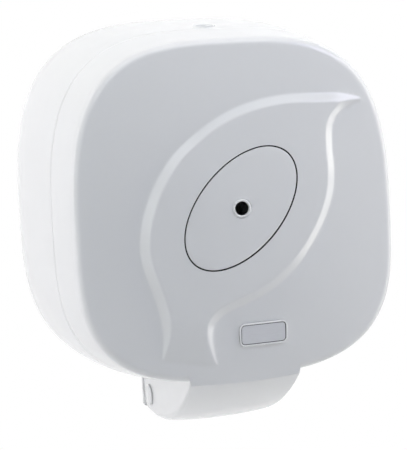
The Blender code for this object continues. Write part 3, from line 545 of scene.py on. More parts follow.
chinSlope = chinProfile(chin["lipDepth"] - chin["lipStart"])[1]
lipLean = math.atan2(*chin["lipFace"])
lipRun = chin["lipRound"] * math.tan((lipLean - chinSlope) / 2)
slantEnd = chin["lipDepth"] - lipRun * math.cos(chinSlope)
lipCentre = Vector((chin["halfWidth"] - chin["lipRound"],
                    -slantEnd + chin["lipRound"] * math.sin(chinSlope),
                    chinProfile(slantEnd)[0] + chin["lipRound"] * math.cos(chinSlope)))
turnSteps = cover["rimSteps"] - cover["slantSteps"]
rimPoints = rimCurve(cover["rimSteps"])


def lipPoint(column, turned, junction):
    # the lip's round edge and its two corners, turned from the slant underneath to the face
    part, share, flip = chinRun(column)
    lean = chinSlope + (lipLean - chinSlope) * turned
    under = Vector((0, -math.sin(lean), -math.cos(lean)))
    if part == "bottom":
        across = lipCentre.x * (1 - 2 * share)
        spot = Vector((across, lipCentre.y, lipCentre.z)) + under * chin["lipRound"]
        spot.z -= chinBow(across, chin["lipSag"])
    else:
        turn = math.pi / 2 * turned
        outward = Vector((math.cos(turn), -math.sin(turn) * math.sin(lipLean),
                          -math.sin(turn) * math.cos(lipLean)))
        if part == "corner":
            outward = outward.lerp(under, share).normalized()
        spot = lipCentre + outward * chin["lipRound"]
        if part == "side":
            spot = cheekSpot(spot, share, junction)
    return Vector((flip * spot.x, spot.y, spot.z))


def coverPoint(column, row):
    # side and rim rows, from the seam to the edge of the face
    sides = len(cover["sideRows"])
    inset = 0.0
    if row == 0:
        depth, inset = cover["sideRows"][0], cover["seamSoft"]
        size = reach(depth, inset)
    elif row <= sides:
        depth = cover["sideRows"][row - 1]
        size = reach(depth)
    else:
        inset, depth = rimPoints[row - sides]
        size = reach(body["rimDepth"], inset)
    seam = body["seam"] + body["seamGap"]
    level = -seam if row == 0 else -depth
    junction = lowEdge(chin["halfWidth"], size)
    if column <= cover["outlineColumns"]:
        start = math.atan2(junction, chin["halfWidth"])
        angle = start + (math.pi - 2 * start) * column / cover["outlineColumns"]
        x, z = outlinePoint(angle, size)
        return Vector((x, level, z))
    chinColumn = column - cover["outlineColumns"]
    slant = row - sides
    if slant > cover["slantSteps"]:
        turned = (slant - cover["slantSteps"]) / turnSteps
        spot, last = (lipPoint(chinColumn, share, (level, junction)) for share in (turned, 1))
        spot.y += (-float(domeDepth(last.x, last.z)) - last.y) * smooth(turned)
        return spot
    if slant > 0:
        depth = body["rimDepth"] + (slantEnd - body["rimDepth"]) * slant / cover["slantSteps"]
    if row == 0:
        depth = seam
    return chinSection(chinColumn, depth, *chinProfile(depth), chinCorner(depth), (level, junction))


def ellipsePoint(angle, extra):
    # the plate's outline in a direction from its middle
    turn = angle - math.radians(nozzlePlate["turn"])
    longHalf, shortHalf = nozzlePlate["long"] + extra, nozzlePlate["short"] + extra
    radius = 1 / math.hypot(math.cos(turn) / longHalf, math.sin(turn) / shortHalf)
    return radius * math.cos(angle), radius * math.sin(angle) + nozzlePlate["height"]


def makeCover():
    sides = len(cover["sideRows"])
    rimRows = sides + cover["rimSteps"]
    chinColumns = 2 * (cover["sideColumns"] + cover["cornerColumns"]) + cover["bottomColumns"]
    columns = cover["outlineColumns"] + chinColumns
    edge = [coverPoint(column % columns, rimRows) for column in range(columns + 1)]
    middle = cover["outlineColumns"] + chinColumns / 2
    angles = []
    for column, point in enumerate(edge):
        # half by the point's own direction, half evenly, so that the chin's columns spread out
        own = (math.atan2(point.z - nozzlePlate["height"], point.x) + math.pi / 2) % math.tau
        even = (column - middle) / columns * math.tau % math.tau
        if own - even > math.pi:
            own -= math.tau
        if even - own > math.pi:
            even -= math.tau
        angles.append((own + even) / 2 - math.pi / 2)
    bm = bmesh.new()

    def facePoint(column, row):
        x, z = ellipsePoint(angles[column], nozzlePlate["gap"])
        spot = edge[column].lerp(Vector((x, 0, z)), row / cover["faceRows"])
        return Vector((spot.x, 0, spot.z))

    face = makeSheet(bm, columns, cover["faceRows"], facePoint)
    weld(bm)
    # finer where the leaf's slopes run
    margin = cover["leafMargin"]
    for longest in cover["leafCells"]:
        x, z = np.array([[vert.co.x, vert.co.z] for vert in bm.verts]).T
        inside = leafInside(x, z)
        near = (inside > -margin) & (inside < leaf["band"] + margin) & (leafFade(x, z) > 0)
        near &= domeDepth(x, z) > faceEdge + cover["faceMargin"]
        bm.verts.ensure_lookup_table()
        chosen = {bm.verts[index] for index in np.flatnonzero(near)}
        edges = [item for item in bm.edges if item.calc_length() > longest
                 and item.verts[0] in chosen and item.verts[1] in chosen]
        bmesh.ops.subdivide_edges(bm, edges=edges, cuts=1, use_grid_fill=True)
    x, z = np.array([[vert.co.x, vert.co.z] for vert in bm.verts]).T
    for vert, depth in zip(bm.verts, faceSurface(x, z)):
        vert.co.y = -depth
    print("face sheet", len(bm.verts), "points")

    # recess for the nozzle plate, with its ledge; its wall and ledge are in painted shade, near-black,
    # standing in for the shade in the gap round the plate
    def recessPoint(column, row):
        x, z = ellipsePoint(angles[column], nozzlePlate["gap"] - (nozzlePlate["ledge"] if row == 2 else 0))
        depth = float(faceSurface(x, z)) if row == 0 else nozzlePlate["ledgeDepth"]
        return Vector((x, -depth, z))

    makeSheet(bm, columns, 2, recessPoint, (1, 1))
    makeSheet(bm, columns, rimRows, lambda column, row: coverPoint(column % columns, row))
    roofEnd = lowEdge(chin["halfWidth"], reach(cover["sideRows"][0], cover["seamSoft"])) - chin["roofDrop"]
    hingeDepth, hingeHeight = chin["hinge"]
    roofRear = hingeHeight + chin["cheekRound"]

    def roof(depth):
        if depth >= hingeDepth:
            share = (depth - hingeDepth) / (body["seam"] + body["seamGap"] - hingeDepth)
            return roofRear + (roofEnd - roofRear) * share
        return hingeHeight + math.sqrt(max(0, chin["cheekRound"] ** 2 - (hingeDepth - depth) ** 2))

    def chinPoint(column, row):
        depth = chin["rows"][row]
        junction = (-depth, roof(depth) + chin["roofDrop"])
        return chinSection(column + 1, depth, *chinProfile(depth), chinCorner(depth), junction)

    makeSheet(bm, chinColumns - 2, len(chin["rows"]) - 1, chinPoint)

    def cheekPoint(column, row, flip):
        depth = chin["cheekRows"][row]
        low = hingeHeight - math.sqrt(max(0, chin["cheekRound"] ** 2 - (hingeDepth - depth) ** 2))
        low = max(low, chin["base"]) if depth < hingeDepth else chin["base"]
        high = roof(depth)
        corner = min(chin["cornerRear"], (high - low) * 0.4)
        part, share, _ = chinRun(column + 1)
        turn = math.pi / 2 * (share if part == "corner" else 0)
        x = chin["halfWidth"] - corner * (1 - math.cos(turn))
        z = low + corner * (1 - math.sin(turn))
        if part == "side":
            step = 1 / cover["sideColumns"]
            z = high + (z - high) * (share - step) / (1 - step)
        return Vector((flip * x, -depth, z))

    cheekColumns = cover["sideColumns"] + cover["cornerColumns"] - 1
    for flip in (-1, 1):
        makeSheet(bm, cheekColumns, len(chin["cheekRows"]) - 1,
                  lambda column, row, flip=flip: cheekPoint(column, row, flip))
    weld(bm, crack)
    pointOut(bm, (0, -1, 0))
    piece = makeObject("coverShell", bm, "glossWhite")
    piece.data.materials.append(finishes["paintedShade"])
    # the wall's inside steps its finish back by one, so only the outside of the recess carries the painted
    # shade
    addModifier(piece, "SOLIDIFY", thickness=body["wall"] * mm, offset=-1, material_offset=-1)
    return piece


housing = {
    "columns": 232, "depths": (0, 14, 30, 46, 62, 78, 92, 100, 106.4, 107),
    "backRows": 10, "backSoft": 1.2, "seamSoft": 0.6,
    "slotAcross": 78, "slotHigh": 98, "slotLow": 52, "slotHalf": 2.75, "slotRun": 4,
    "bossRadius": 9, "bossHeight": 3, "ribHeight": 4, "ribHalf": 1, "ribAcross": 50, "ribReach": 104,
    "screwRadius": 113, "screwAngle": 38, "screwBoss": 5, "lockDepth": 91, "lockBoss": 9.5, "lockDrop": 5.2,
    "plateHalf": 43, "plateThick": 3.6, "plateLow": -153, "clear": 0.3, "earGap": 0.6, "earLow": -149.44,
    "lugRadius": 11, "lugOuter": 38.5, "lugInner": 33.5, "lugWeb": 4, "pinHole": 4.3, "pilot": 1.9,
    "lockBore": 6.3, "lockSeat": 8.3, "lockSink": 1.9,
    "overlap": 1.5, "plateRise": 2, "plateCorner": 2.5, "earEnd": 62,
}
badge = {
    "across": 13.6, "height": -70.2, "width": 36.5, "tall": 17.2, "corner": 4.2, "recess": 0.8, "gap": 0.3,
    "thick": 1.6, "rim": 1.25, "groove": 0.45,
}
hook = {
    "side": 10.5, "width": 9, "gap": 1, "arm": 2.4, "drop": 7.5, "tip": 3, "pastLock": 6.5, "root": 19,
    "soft": 0.5,
}
bay = Vector((0, 0, nozzlePlate["height"]))
hinge = Vector((0, -chin["hinge"][0], chin["hinge"][1]))


def facePlace(x, z):
    # a frame on the crowned face: X along it, Y up it, Z out of it
    step = 0.4
    slopeX, slopeZ = (float(domeDepth(x + u, z + v) - domeDepth(x - u, z - v)) / (2 * step)
                      for u, v in ((step, 0), (0, step)))
    outward = -Vector((slopeX, 1, slopeZ)).normalized()
    upward = outward.cross(Vector((1, 0, 0))).normalized()
    turn = Matrix((upward.cross(outward), upward, outward)).transposed().to_4x4()
    return Matrix.Translation((x, -float(domeDepth(x, z)), z)) @ turn


def slabRing(grow):
    # outline of the badge, grown or shrunk
    radius = max(0.2, badge["corner"] + grow)
    across, up = badge["width"] / 2 + grow - radius, badge["tall"] / 2 + grow - radius
    ring = []
    for start, sideX, sideY in ((0, 1, 1), (90, -1, 1), (180, -1, -1), (270, 1, -1)):
        ring += arc((sideX * across, sideY * up), radius, start, start + 90, 10)
    return ring


def addBadgeSlab(bm, grow, low, high):
    place = facePlace(badge["across"], badge["height"])
    outline = [place @ Vector((x, y, low)) for x, y in slabRing(grow)]
    addPlate(bm, outline, place.to_3x3() @ Vector((0, 0, high - low)))


def finishCover(piece):
    # the lock's hook under the top, the badge's recess and the bores for the pins
    top = reach(body["seam"])[1] - body["wall"] - hook["gap"]
    under, rear = top - hook["arm"], -housing["lockDepth"] + hook["pastLock"]
    low, tip, root = under - hook["drop"], rear - hook["tip"], -body["seam"] - body["seamGap"] - hook["root"]
    outline = [(root, top), (rear, top), (rear, low), (tip, low), (tip, under), (root, under)]
    addJoined(piece, "UNION", (addPlate, [(hook["side"], y, z) for y, z in outline],
                               (hook["width"], 0, 0), hook["soft"]))
    addJoined(piece, "DIFFERENCE", (addBadgeSlab, badge["gap"], -badge["recess"], 4),
              *[(addRod, housing["pinHole"], hinge + Vector((side * (chin["halfWidth"] - 5), 0, 0)),
                 hinge + Vector((side * (chin["halfWidth"] + 2), 0, 0))) for side in (-1, 1)])
    settle(piece, sharp=35)


coverShell = makeCover()
finishCover(coverShell)
put(coverShell, "cover", ["front_cover"])
print("cover made", len(coverShell.data.polygons))


# rear housing: an open shell with its wall given afterwards, then the moulded details inside it

def lockSpot(below=0.0):
    # on the lock's axis, so far below the top's outside
    return Vector((0, -housing["lockDepth"], reach(housing["lockDepth"])[1] - below))


def cradleScrews():
    for side in (-1, 1):
        angle = math.radians(side * housing["screwAngle"])
        yield bay + Vector((math.sin(angle), 0, -math.cos(angle))) * housing["screwRadius"]


def makeHousing():
    h = housing
    bm = bmesh.new()
    last = len(h["depths"]) - 1

    def sidePoint(column, row):
        size = reach(h["depths"][row], h["seamSoft"] if row == last else h["backSoft"] if row == 0 else 0)
        x, z = outlinePoint(math.tau * column / h["columns"], size)
        return Vector((x, -h["depths"][row], z))

    def backPoint(column, row):
        x, z = outlinePoint(math.tau * column / h["columns"], reach(0, h["backSoft"]))
        return Vector((x, 0, z)) * (1 - row / h["backRows"])

    makeSheet(bm, h["columns"], last, sidePoint)
    makeSheet(bm, h["columns"], h["backRows"], backPoint)
    weld(bm)
    pointOut(bm, (0, 1, 0))
    piece = makeObject("housingShell", bm, "glossWhite")
    addModifier(piece, "SOLIDIFY", thickness=body["wall"] * mm, offset=-1, use_even_offset=True)
    wall = body["wall"]
    slots = [(side * h["slotAcross"], height)
             for side in (-1, 1) for height in (h["slotHigh"], -h["slotLow"])]
    front = -wall - h["bossHeight"]
    half, top = h["ribHalf"], -wall - h["ribHeight"]
    rear = -h["plateThick"] + h["overlap"]
    addJoined(piece, "UNION",
              *[(addRod, h["bossRadius"], (x, -wall / 2, z), (x, front, z), 0.5) for x, z in slots],
              *[(addRod, h["screwBoss"], place - Vector((0, wall / 2, 0)), place + Vector((0, front, 0)),
                 0.4, 32) for place in cradleScrews()])
    addJoined(piece, "UNION",
              *[(addBlock, (side * h["ribAcross"] - half, top, -h["ribReach"] / 2),
                 (side * h["ribAcross"] + half, -wall / 2, h["ribReach"]), 0.4) for side in (-1, 1)])
    addJoined(piece, "UNION",
              *[(addBlock, (-h["ribReach"], top + 0.3, bay.z + side * h["ribAcross"] - half),
                 (h["ribReach"], -wall / 2, bay.z + side * h["ribAcross"] + half), 0.4) for side in (-1, 1)],
              (addRod, h["lockBoss"], lockSpot(wall / 2), lockSpot(h["lockDrop"]), 0.4))
    # hinge plate, ears that fill in behind the cheeks, and lugs that hold the pins
    plateTop = lowEdge(h["plateHalf"], reach(0)) + h["plateRise"]
    soft = h["plateCorner"]
    corner = arc((h["plateHalf"] - soft, h["plateLow"] + soft), soft, 0, -90, 6)
    outline = [(h["plateHalf"], plateTop), *corner, *[(-x, z) for x, z in reversed(corner)],
               (-h["plateHalf"], plateTop)]
    addJoined(piece, "UNION", (addPlate, [(x, -h["clear"], z) for x, z in outline],
                               (0, -h["plateThick"], 0), 0.5))
    roundEnd = chin["cheekRound"] + h["earGap"]
    start = math.degrees(math.asin((h["earLow"] - hinge.z) / roundEnd))
    curve = arc((hinge.y, hinge.z), roundEnd, start, h["earEnd"], 24)
    behind = -h["clear"] - h["earGap"]
    earTop = lowEdge(chin["halfWidth"], reach(-hinge.y)) + h["overlap"]
    curve = [(min(y, behind), z) for y, z in curve]
    ear = [*curve, (curve[-1][0], earTop), (behind + 0.3, earTop), (behind + 0.3, h["earLow"])]
    addJoined(piece, "UNION", *[(addPlate, [(inner, y, z) for y, z in ear], (wall, 0, 0), 0.3)
                                for inner in (-chin["halfWidth"], chin["halfWidth"] - wall)])
    lugTop = lowEdge(h["lugOuter"], reach(-hinge.y + h["lugRadius"])) + h["overlap"]
    curve = arc((hinge.y, hinge.z), h["lugRadius"], 180, 360, 28)
    lug = [(hinge.y - h["lugRadius"], lugTop), *curve, (curve[-1][0], hinge.z + h["lugWeb"]),
           (rear, hinge.z + h["lugWeb"]), (rear, lugTop)]
    addJoined(piece, "UNION",
              *[(addPlate, [(inner, y, z) for y, z in lug], (h["lugOuter"] - h["lugInner"], 0, 0), 0.4)
                for inner in (-h["lugOuter"], h["lugInner"])])
    across = Vector((h["plateHalf"], 0, 0))
    addJoined(piece, "DIFFERENCE", (addRod, h["pinHole"], hinge - across, hinge + across),
              *[(addRod, h["pilot"], place + Vector((0, front - 2, 0)), place + Vector((0, front + 4.8, 0)),
                 0, 24) for place in cradleScrews()],
              (addRod, h["lockBore"], lockSpot(-4), lockSpot(12)))
    addJoined(piece, "DIFFERENCE", (addRod, h["lockSeat"], lockSpot(-4), lockSpot(h["lockSink"])))
    ends = [point for start in (0, 180) for point in
            arc((0, h["slotRun"] * (1 - start / 90)), h["slotHalf"], start, start + 180, 14)]
    addJoined(piece, "DIFFERENCE",
              *[(addPlate, [(x + u, 2, z + v) if z > 0 else (x + v, 2, z - u) for u, v in ends], (0, -12, 0))
                for x, z in slots])
    settle(piece, sharp=35)
    return piece


housingShell = makeHousing()
put(housingShell, "housing", ["rear_housing"])
print("housing made", len(housingShell.data.polygons))


# nozzle plate: an ellipse let into the leaf, with a softened edge and two screw bosses behind

plate = {
    "columns": 200, "rows": 12, "edge": 0.45, "bossOffset": 40, "boss": 3.2, "bossLength": 3.8,
    "pilot": 1.4, "ringRadius": 7, "neck": 5.9, "bore": 5, "skirt": 2.2, "bead": 0.8,
    "beadRise": 0.7, "neckDrop": 0.9, "fit": 0.3,
}
nozzleFront = float(domeDepth(0, nozzlePlate["height"])) + leaf["height"]


def ellipseRing(extra, depth, columns):
    # at one depth, or on the leaf's level where there is none
    points = [ellipsePoint(math.tau * step / columns, extra) for step in range(columns)]
    return [Vector((x, -(depth or float(domeDepth(x, z)) + leaf["height"]), z)) for x, z in points]


def bossSpots():
    turn = math.radians(nozzlePlate["turn"])
    for side in (-1, 1):
        yield side, bay + Vector((math.cos(turn), 0, math.sin(turn))) * side * plate["bossOffset"]


def makePlate():
    p = plate
    fit = p["fit"]
    back = nozzlePlate["ledgeDepth"] + fit
    hole = p["ringRadius"] + fit / 2
    columns = p["columns"]
    # outer edge, from the back round to the face, then in to the seat of the nozzle's ring
    rows = [ellipseRing(-fit, back, columns), ellipseRing(0, back + fit, columns)]
    for step in range(5):
        turn = math.pi / 2 * step / 4
        ring = ellipseRing(-p["edge"] * (1 - math.cos(turn)), None, columns)
        rows.append([Vector((v.x, v.y + p["edge"] * (1 - math.sin(turn)), v.z)) for v in ring])
    edge = rows[-1]
    for row in range(1, p["rows"] + 1):
        ring = []
        for column, point in enumerate(edge):
            angle = math.tau * column / columns
            target = Vector((math.cos(angle), 0, math.sin(angle))) * (hole + 0.1) + bay
            spot = point.lerp(target, row / p["rows"])
            spot.y = -float(domeDepth(spot.x, spot.z)) - leaf["height"]
            ring.append(spot)
        rows.append(ring)
    neck, seat = p["neck"] + fit, nozzleFront - p["skirt"] - fit
    for radius, depth in ((hole, nozzleFront - 0.1), (hole, seat), (neck, seat), (neck, back)):
        turns = [math.tau * column / columns for column in range(columns)]
        rows.append([Vector((radius * math.cos(a), -depth, bay.z + radius * math.sin(a))) for a in turns])
    rows.append(rows[0])
    bm = bmesh.new()
    # the first two bands, the plate's back edge and side wall, are painted shade, near-black, standing in for
    # the shade in the gap round the plate
    makeSheet(bm, columns, len(rows) - 1, lambda column, row: rows[row][column % columns],
              [1, 1] + [0] * (len(rows) - 3))
    weld(bm)
    bmesh.ops.recalc_face_normals(bm, faces=bm.faces)
    piece = makeObject("nozzlePlateFace", bm, "glossWhite")
    piece.data.materials.append(finishes["paintedShade"])
    end = -back + p["bossLength"]
    for operation, radius, first, last, details in (("UNION", p["boss"], -back - 1, end, (0.3, 32)),
                                                    ("DIFFERENCE", p["pilot"], -back, end + 2, (0, 24))):
        addJoined(piece, operation, *[(addRod, radius, spot + Vector((0, first, 0)),
                                       spot + Vector((0, last, 0)), *details)
                                      for _, spot in bossSpots()])
    settle(piece, sharp=40)
    return piece


put(makePlate(), "cover", ["nozzle_plate"])


def makeSpun(name, material, profile, centre, axis, closed, segments=96, sharp=40):
    bm = bmesh.new()
    addSpin(bm, profile, centre, axis, closed, segments)
    piece = makeObject(name, bm, material)
    settle(piece, sharp=sharp)
    return piece


funnel = {"length": 22, "collar": 1.8, "throat": 10, "mouth": 19, "inner": 7.8, "widen": 9.6, "steps": 8}


def makeNozzle():
    p, front, back = plate, nozzleFront, nozzlePlate["ledgeDepth"]
    neckEnd, neck, low = front - p["neckDrop"], p["neck"] + p["fit"], front - p["skirt"]
    beadMiddle, beadHalf = p["bore"] + p["bead"], p["bead"]
    bead = [(beadMiddle + (radius - beadMiddle) * beadHalf, front + level * p["beadRise"])
            for radius, level in arc((beadMiddle, 0), 1, 0, 180, 20)]
    ring = [(neck, low), (p["ringRadius"] - 0.15, low), (p["ringRadius"], low + 0.15),
            (p["ringRadius"], front - 0.25), (p["ringRadius"] - 0.1, front - 0.05), *bead,
            (p["bore"], neckEnd + p["fit"]), (neck, neckEnd + p["fit"])]
    put(makeSpun("nozzleRing", "glossWhite", ring, bay, (0, -1, 0), True), "cover", ["nozzle_ring"])
    # outside from the neck over the collar down to the mouth, then up again inside
    f = funnel
    mouth, steps = back - f["length"], f["steps"]
    run, flare = f["length"] - f["collar"], f["mouth"] - f["throat"]
    outside = [(f["throat"] + flare * smooth(0.5 + s / steps / 2) * 2 - flare,
                back - f["collar"] - run * s / steps) for s in range(1, steps)]
    inside = [(f["inner"] + f["widen"] * (1 - s / steps) ** 1.1, mouth + run * s / steps)
              for s in range(1, steps + 1)]
    profile = [(p["neck"] - 0.2, neckEnd), (p["neck"], neckEnd - 0.2), (p["neck"], back),
               (f["throat"] - 0.2, back), (f["throat"], back - 0.2), (f["throat"], back - f["collar"]),
               *outside, (f["mouth"], mouth), (f["inner"] + f["widen"], mouth), *inside,
               (p["bore"], back), (p["bore"], neckEnd)]
    piece = makeSpun("nozzleFunnel", "satinWhite", profile, bay, (0, -1, 0), True)
    # the bore and the funnel's inside are painted shade, near-black, standing in for the dark inside of the
    # hole
    piece.data.materials.append(finishes["paintedShade"])
    for face in piece.data.polygons:
        spot = face.center / mm - bay
        inward = face.normal.dot(spot.xz.to_3d().xzy) < 0
        if math.hypot(spot.x, spot.z) < p["bore"] + 0.2 or (spot.y > -back and inward):
            face.material_index = 1
    put(piece, "cover", ["nozzle_funnel"])


makeNozzle()
print("nozzle made")


# badge: a plate with a bright raised rim, a groove painted near-black as shade, and a bare brushed panel

def makeBadge():
    low = -badge["recess"] + 0.3
    high = low + badge["thick"]
    inner, groove = -badge["rim"], -badge["rim"] - badge["groove"]
    # how far in, how high, and the finish of the band up to the next line
    steps = [(-0.15, low, 0), (0, low + 0.15, 0), (0, high - 0.35, 0), (-0.1, high - 0.1, 0),
             (-0.32, high, 0), (inner + 0.25, high, 0), (inner + 0.05, high - 0.08, 0),
             (inner, high - 0.3, 1), (inner - 0.02, high - 0.6, 1), (groove, high - 0.6, 1),
             (groove - 0.08, high - 0.42, 2), (groove - 0.3, high - 0.38, 2), (groove - 2.2, high - 0.34, 2)]
    rings = [slabRing(grow) for grow, _, _ in steps]
    count = len(rings[0])
    bm = bmesh.new()
    makeSheet(bm, count, len(steps) - 1,
              lambda column, row: Vector((*rings[row][column % count], steps[row][1])),
              [finish for _, _, finish in steps])
    weld(bm)
    for level, finish in ((high - 0.34, 2), (low, 0)):
        loop = [item for item in bm.edges
                if len(item.link_faces) == 1 and abs(item.verts[0].co.z - level) < 0.05]
        for face in bmesh.ops.contextual_create(bm, geom=loop)["faces"]:
            face.material_index = finish
    bmesh.ops.recalc_face_normals(bm, faces=bm.faces)
    bmesh.ops.transform(bm, matrix=facePlace(badge["across"], badge["height"]), verts=bm.verts)
    piece = makeObject("badgePlate", bm, "badgeRim")
    # the groove's bands take the near-black painted shade
    piece.data.materials.append(finishes["paintedGrooveShade"])
    piece.data.materials.append(finishes["badgeSilver"])
    return piece


put(makeBadge(), "cover", ["badge_plate"], sharp=30)
print("badge made")


# hinge pins with domed heads, and the clips on their inner ends

pin = {
    "radius": 4, "head": 8.5, "rise": 1.8, "headSoft": 1.0, "tail": 2.2, "clip": 7.8, "clipThick": 1,
    "slit": 0.7, "slitPlace": 5.9,
}


def makePins():
    seat = chin["halfWidth"] + 0.3
    tail = housing["lugInner"] - pin["clipThick"] - pin["tail"]
    top = seat + pin["rise"]
    for side, word in ((-1, "Left"), (1, "Right")):
        soft = pin["headSoft"]
        rounded = arc((pin["head"] - soft, top - soft - 0.25), soft, 0, 80, 8)
        profile = [(0, tail), (pin["radius"] - 0.8, tail), (pin["radius"], tail + 0.8), (pin["radius"], seat),
                   (pin["head"] - 0.15, seat), (pin["head"], seat + 0.15), *rounded,
                   (pin["head"] * 0.55, top - 0.06), (0, top)]
        put(makeSpun("hingePin" + word, "glossWhite", profile, hinge, (side, 0, 0), False), "housing",
            ["hinge_pin_" + word.lower()])
        near = housing["lugInner"] - 0.3
        far = near - pin["clipThick"]
        inner = pin["radius"] + 0.3
        ring = [(inner, near), (pin["clip"] - 0.2, near), (pin["clip"], near - 0.2), (pin["clip"], far + 0.2),
                (pin["clip"] - 0.2, far), (inner, far)]
        clip = makeSpun("pinClip" + word, "zincCoat", ring, hinge, (side, 0, 0), True)
        # three slits let the clip spring
        slits = []
        for step in range(3):
            way = Matrix.Rotation(math.tau * step / 3 + 0.5, 3, "X") @ Vector((0, 0, 1))
            start, end = (hinge + way * pin["slitPlace"] + Vector((side * along, 0, 0))
                          for along in (far - 1, near + 1))
            slits.append((addRod, pin["slit"], start, end, 0, 16))
        addJoined(clip, "DIFFERENCE", *slits)
        settle(clip, sharp=35)
        put(clip, "housing", ["pin_clip_" + word.lower()])


makePins()
print("pins made")


# screws: pan heads with a cross recess, and a thread on the shank

screws = {
    # radius and length of the shank, radius and height of the head
    "cradle": (1.6, 7.3, 4, 2.4), "retainer": (1.1, 5.5, 2.9, 2), "cam": (1.1, 5.7, 3.4, 1.8),
}


def makeScrew(name, body, replaced, foot, axis, sizes):
    # the underside of the head is at foot, and the head points along the axis
    shank, length, head, height = sizes
    pitch = shank * 0.75
    thread, level = [], -length + shank
    while level < -pitch:
        thread += [(shank * 0.76, level), (shank, level + pitch * 0.35), (shank, level + pitch * 0.5),
                   (shank * 0.76, level + pitch * 0.85)]
        level += pitch
    dome = [(head * across, height * up)
            for across, up in ((1, 0.5), (0.975, 0.68), (0.92, 0.84), (0.84, 0.95), (0.75, 1))]
    profile = [(0, -length), (shank * 0.3, -length + shank * 0.25), *thread, (shank * 0.8, -0.05),
               (shank * 0.8, 0), (head - 0.12, 0), (head, 0.12), *dome, (0, height)]
    screw = makeSpun(name, "zincCoat", profile, foot, axis, False, 32)
    axis = Vector(axis)
    side = axis.orthogonal().normalized()
    far, near = head * 0.56, head * 0.15
    for way in (side, axis.cross(side)):
        across = axis.cross(way)
        ends = [(way * u + across * v) + Vector(foot) + axis * (height * 0.45)
                for u, v in ((-far, -near), (far, -near), (far, near), (-far, near))]
        addJoined(screw, "DIFFERENCE", (addPlate, ends, axis * height))
    settle(screw, sharp=35)
    put(screw, body, [replaced])


# roll cradle: an open trough with a flange to the back wall, a turned-in lip and two ribs

cradle = {
    "radius": 103, "sheet": 2.5, "rear": 6.3, "front": 104, "flange": 18, "lip": 3.5, "halfAngle": 58,
    "columns": 96, "soft": 0.5, "ribAngle": 22, "ribLength": 60, "ribHalf": 1, "hole": 2.2,
}


def roundedOutline(points, soft, steps=4):
    # an outline with each corner turned into a small curve
    points = [Vector(point) for point in points]
    made = []
    for before, point, after in zip([points[-1], *points], points, [*points[1:], points[0]]):
        first = point + (before - point).normalized() * soft
        last = point + (after - point).normalized() * soft
        for step in range(steps + 1):
            t = step / steps
            made.append(first * (1 - t) ** 2 + point * 2 * t * (1 - t) + last * t * t)
    return made


def makeCradle():
    c = cradle
    outer = c["radius"] + c["sheet"]
    base = c["rear"] + c["sheet"]
    section = [(c["radius"], c["rear"]), (outer + c["flange"], c["rear"]), (outer + c["flange"], base),
               (outer, base), (outer, c["front"]), (c["radius"] - c["lip"], c["front"]),
               (c["radius"] - c["lip"], c["front"] - c["sheet"]), (c["radius"], c["front"] - c["sheet"])]
    section = roundedOutline(section, c["soft"])

    def across(angle):
        return Vector((math.sin(math.radians(angle)), 0, -math.cos(math.radians(angle))))

    bm = bmesh.new()
    way = across(-c["halfAngle"])
    verts = [bm.verts.new(bay + way * radius - Vector((0, depth, 0))) for radius, depth in section]
    edges = [bm.edges.new(pair) for pair in zip(verts, [*verts[1:], verts[0]])]
    bmesh.ops.spin(bm, geom=[*verts, *edges], cent=bay, axis=(0, -1, 0),
                   angle=math.radians(2 * c["halfAngle"]), steps=c["columns"], use_merge=False)
    ends = [item for item in bm.edges if len(item.link_faces) == 1]
    bmesh.ops.holes_fill(bm, edges=ends, sides=0)
    bmesh.ops.recalc_face_normals(bm, faces=bm.faces)
    piece = makeObject("rollCradle", bm, "satinWhite")
    for side in (-1, 1):
        way = across(side * c["ribAngle"])
        flat = way.cross(Vector((0, 1, 0))) * c["ribHalf"]
        inner, tip, rear = outer - c["sheet"] / 2, outer + c["flange"] - c["sheet"], base - c["sheet"] / 2
        outline = [(inner, rear), (tip, rear), (tip, base), (outer + 1, rear + c["ribLength"] - 1),
                   (outer, rear + c["ribLength"]), (inner, rear + c["ribLength"])]
        addJoined(piece, "UNION", (addPlate, [bay + way * radius - Vector((0, depth, 0)) + flat
                                              for radius, depth in outline], flat * -2, 0.3))
    addJoined(piece, "DIFFERENCE", *[(addRod, c["hole"], place - Vector((0, c["rear"] - 2, 0)),
                                      place - Vector((0, base + 2, 0)), 0, 32)
                                     for place in cradleScrews()])
    settle(piece, sharp=35)
    put(piece, "housing", ["roll_cradle"])
    for word, place in zip(("left", "right"), cradleScrews()):
        makeScrew("cradleScrew" + word.title(), "housing", "cradle_screw_" + word,
                  place - Vector((0, base + 0.3, 0)), (0, -1, 0), screws["cradle"])


makeCradle()
print("cradle made")


# retainer behind the nozzle plate, held by two screws

retainer = {"rim": -1.1, "front": 154.86, "thick": 2, "bore": 21.5, "socket": 1.7, "soft": 0.35}


def makeRetainer():
    r = retainer
    bm = bmesh.new()
    addPlate(bm, ellipseRing(r["rim"], r["front"], 160), (0, r["thick"], 0), r["soft"])
    piece = makeObject("plateRetainer", bm, "satinWhite")
    rear, front = Vector((0, -r["front"] + r["thick"] + 1, 0)), Vector((0, -r["front"] - 1, 0))
    addJoined(piece, "DIFFERENCE", (addRod, r["bore"], bay + rear, bay + front, 0, 128),
              *[(addRod, r["socket"], spot + rear, spot + front, 0, 24) for _, spot in bossSpots()])
    addModifier(piece, "BEVEL", width=0.25 * mm, segments=2, limit_method="ANGLE",
                angle_limit=math.radians(50))
    settle(piece, sharp=35)
    put(piece, "cover", ["plate_retainer"])
    for side, spot in bossSpots():
        word = "upper" if side > 0 else "lower"
        makeScrew("retainerScrew" + word.title(), "cover", "retainer_screw_" + word,
                  spot + Vector((0, -r["front"] + r["thick"] + 0.3, 0)), (0, 1, 0), screws["retainer"])


makeRetainer()
print("retainer made")


# key lock at the top: bush, nut, barrel with a key slot, cam and its screw

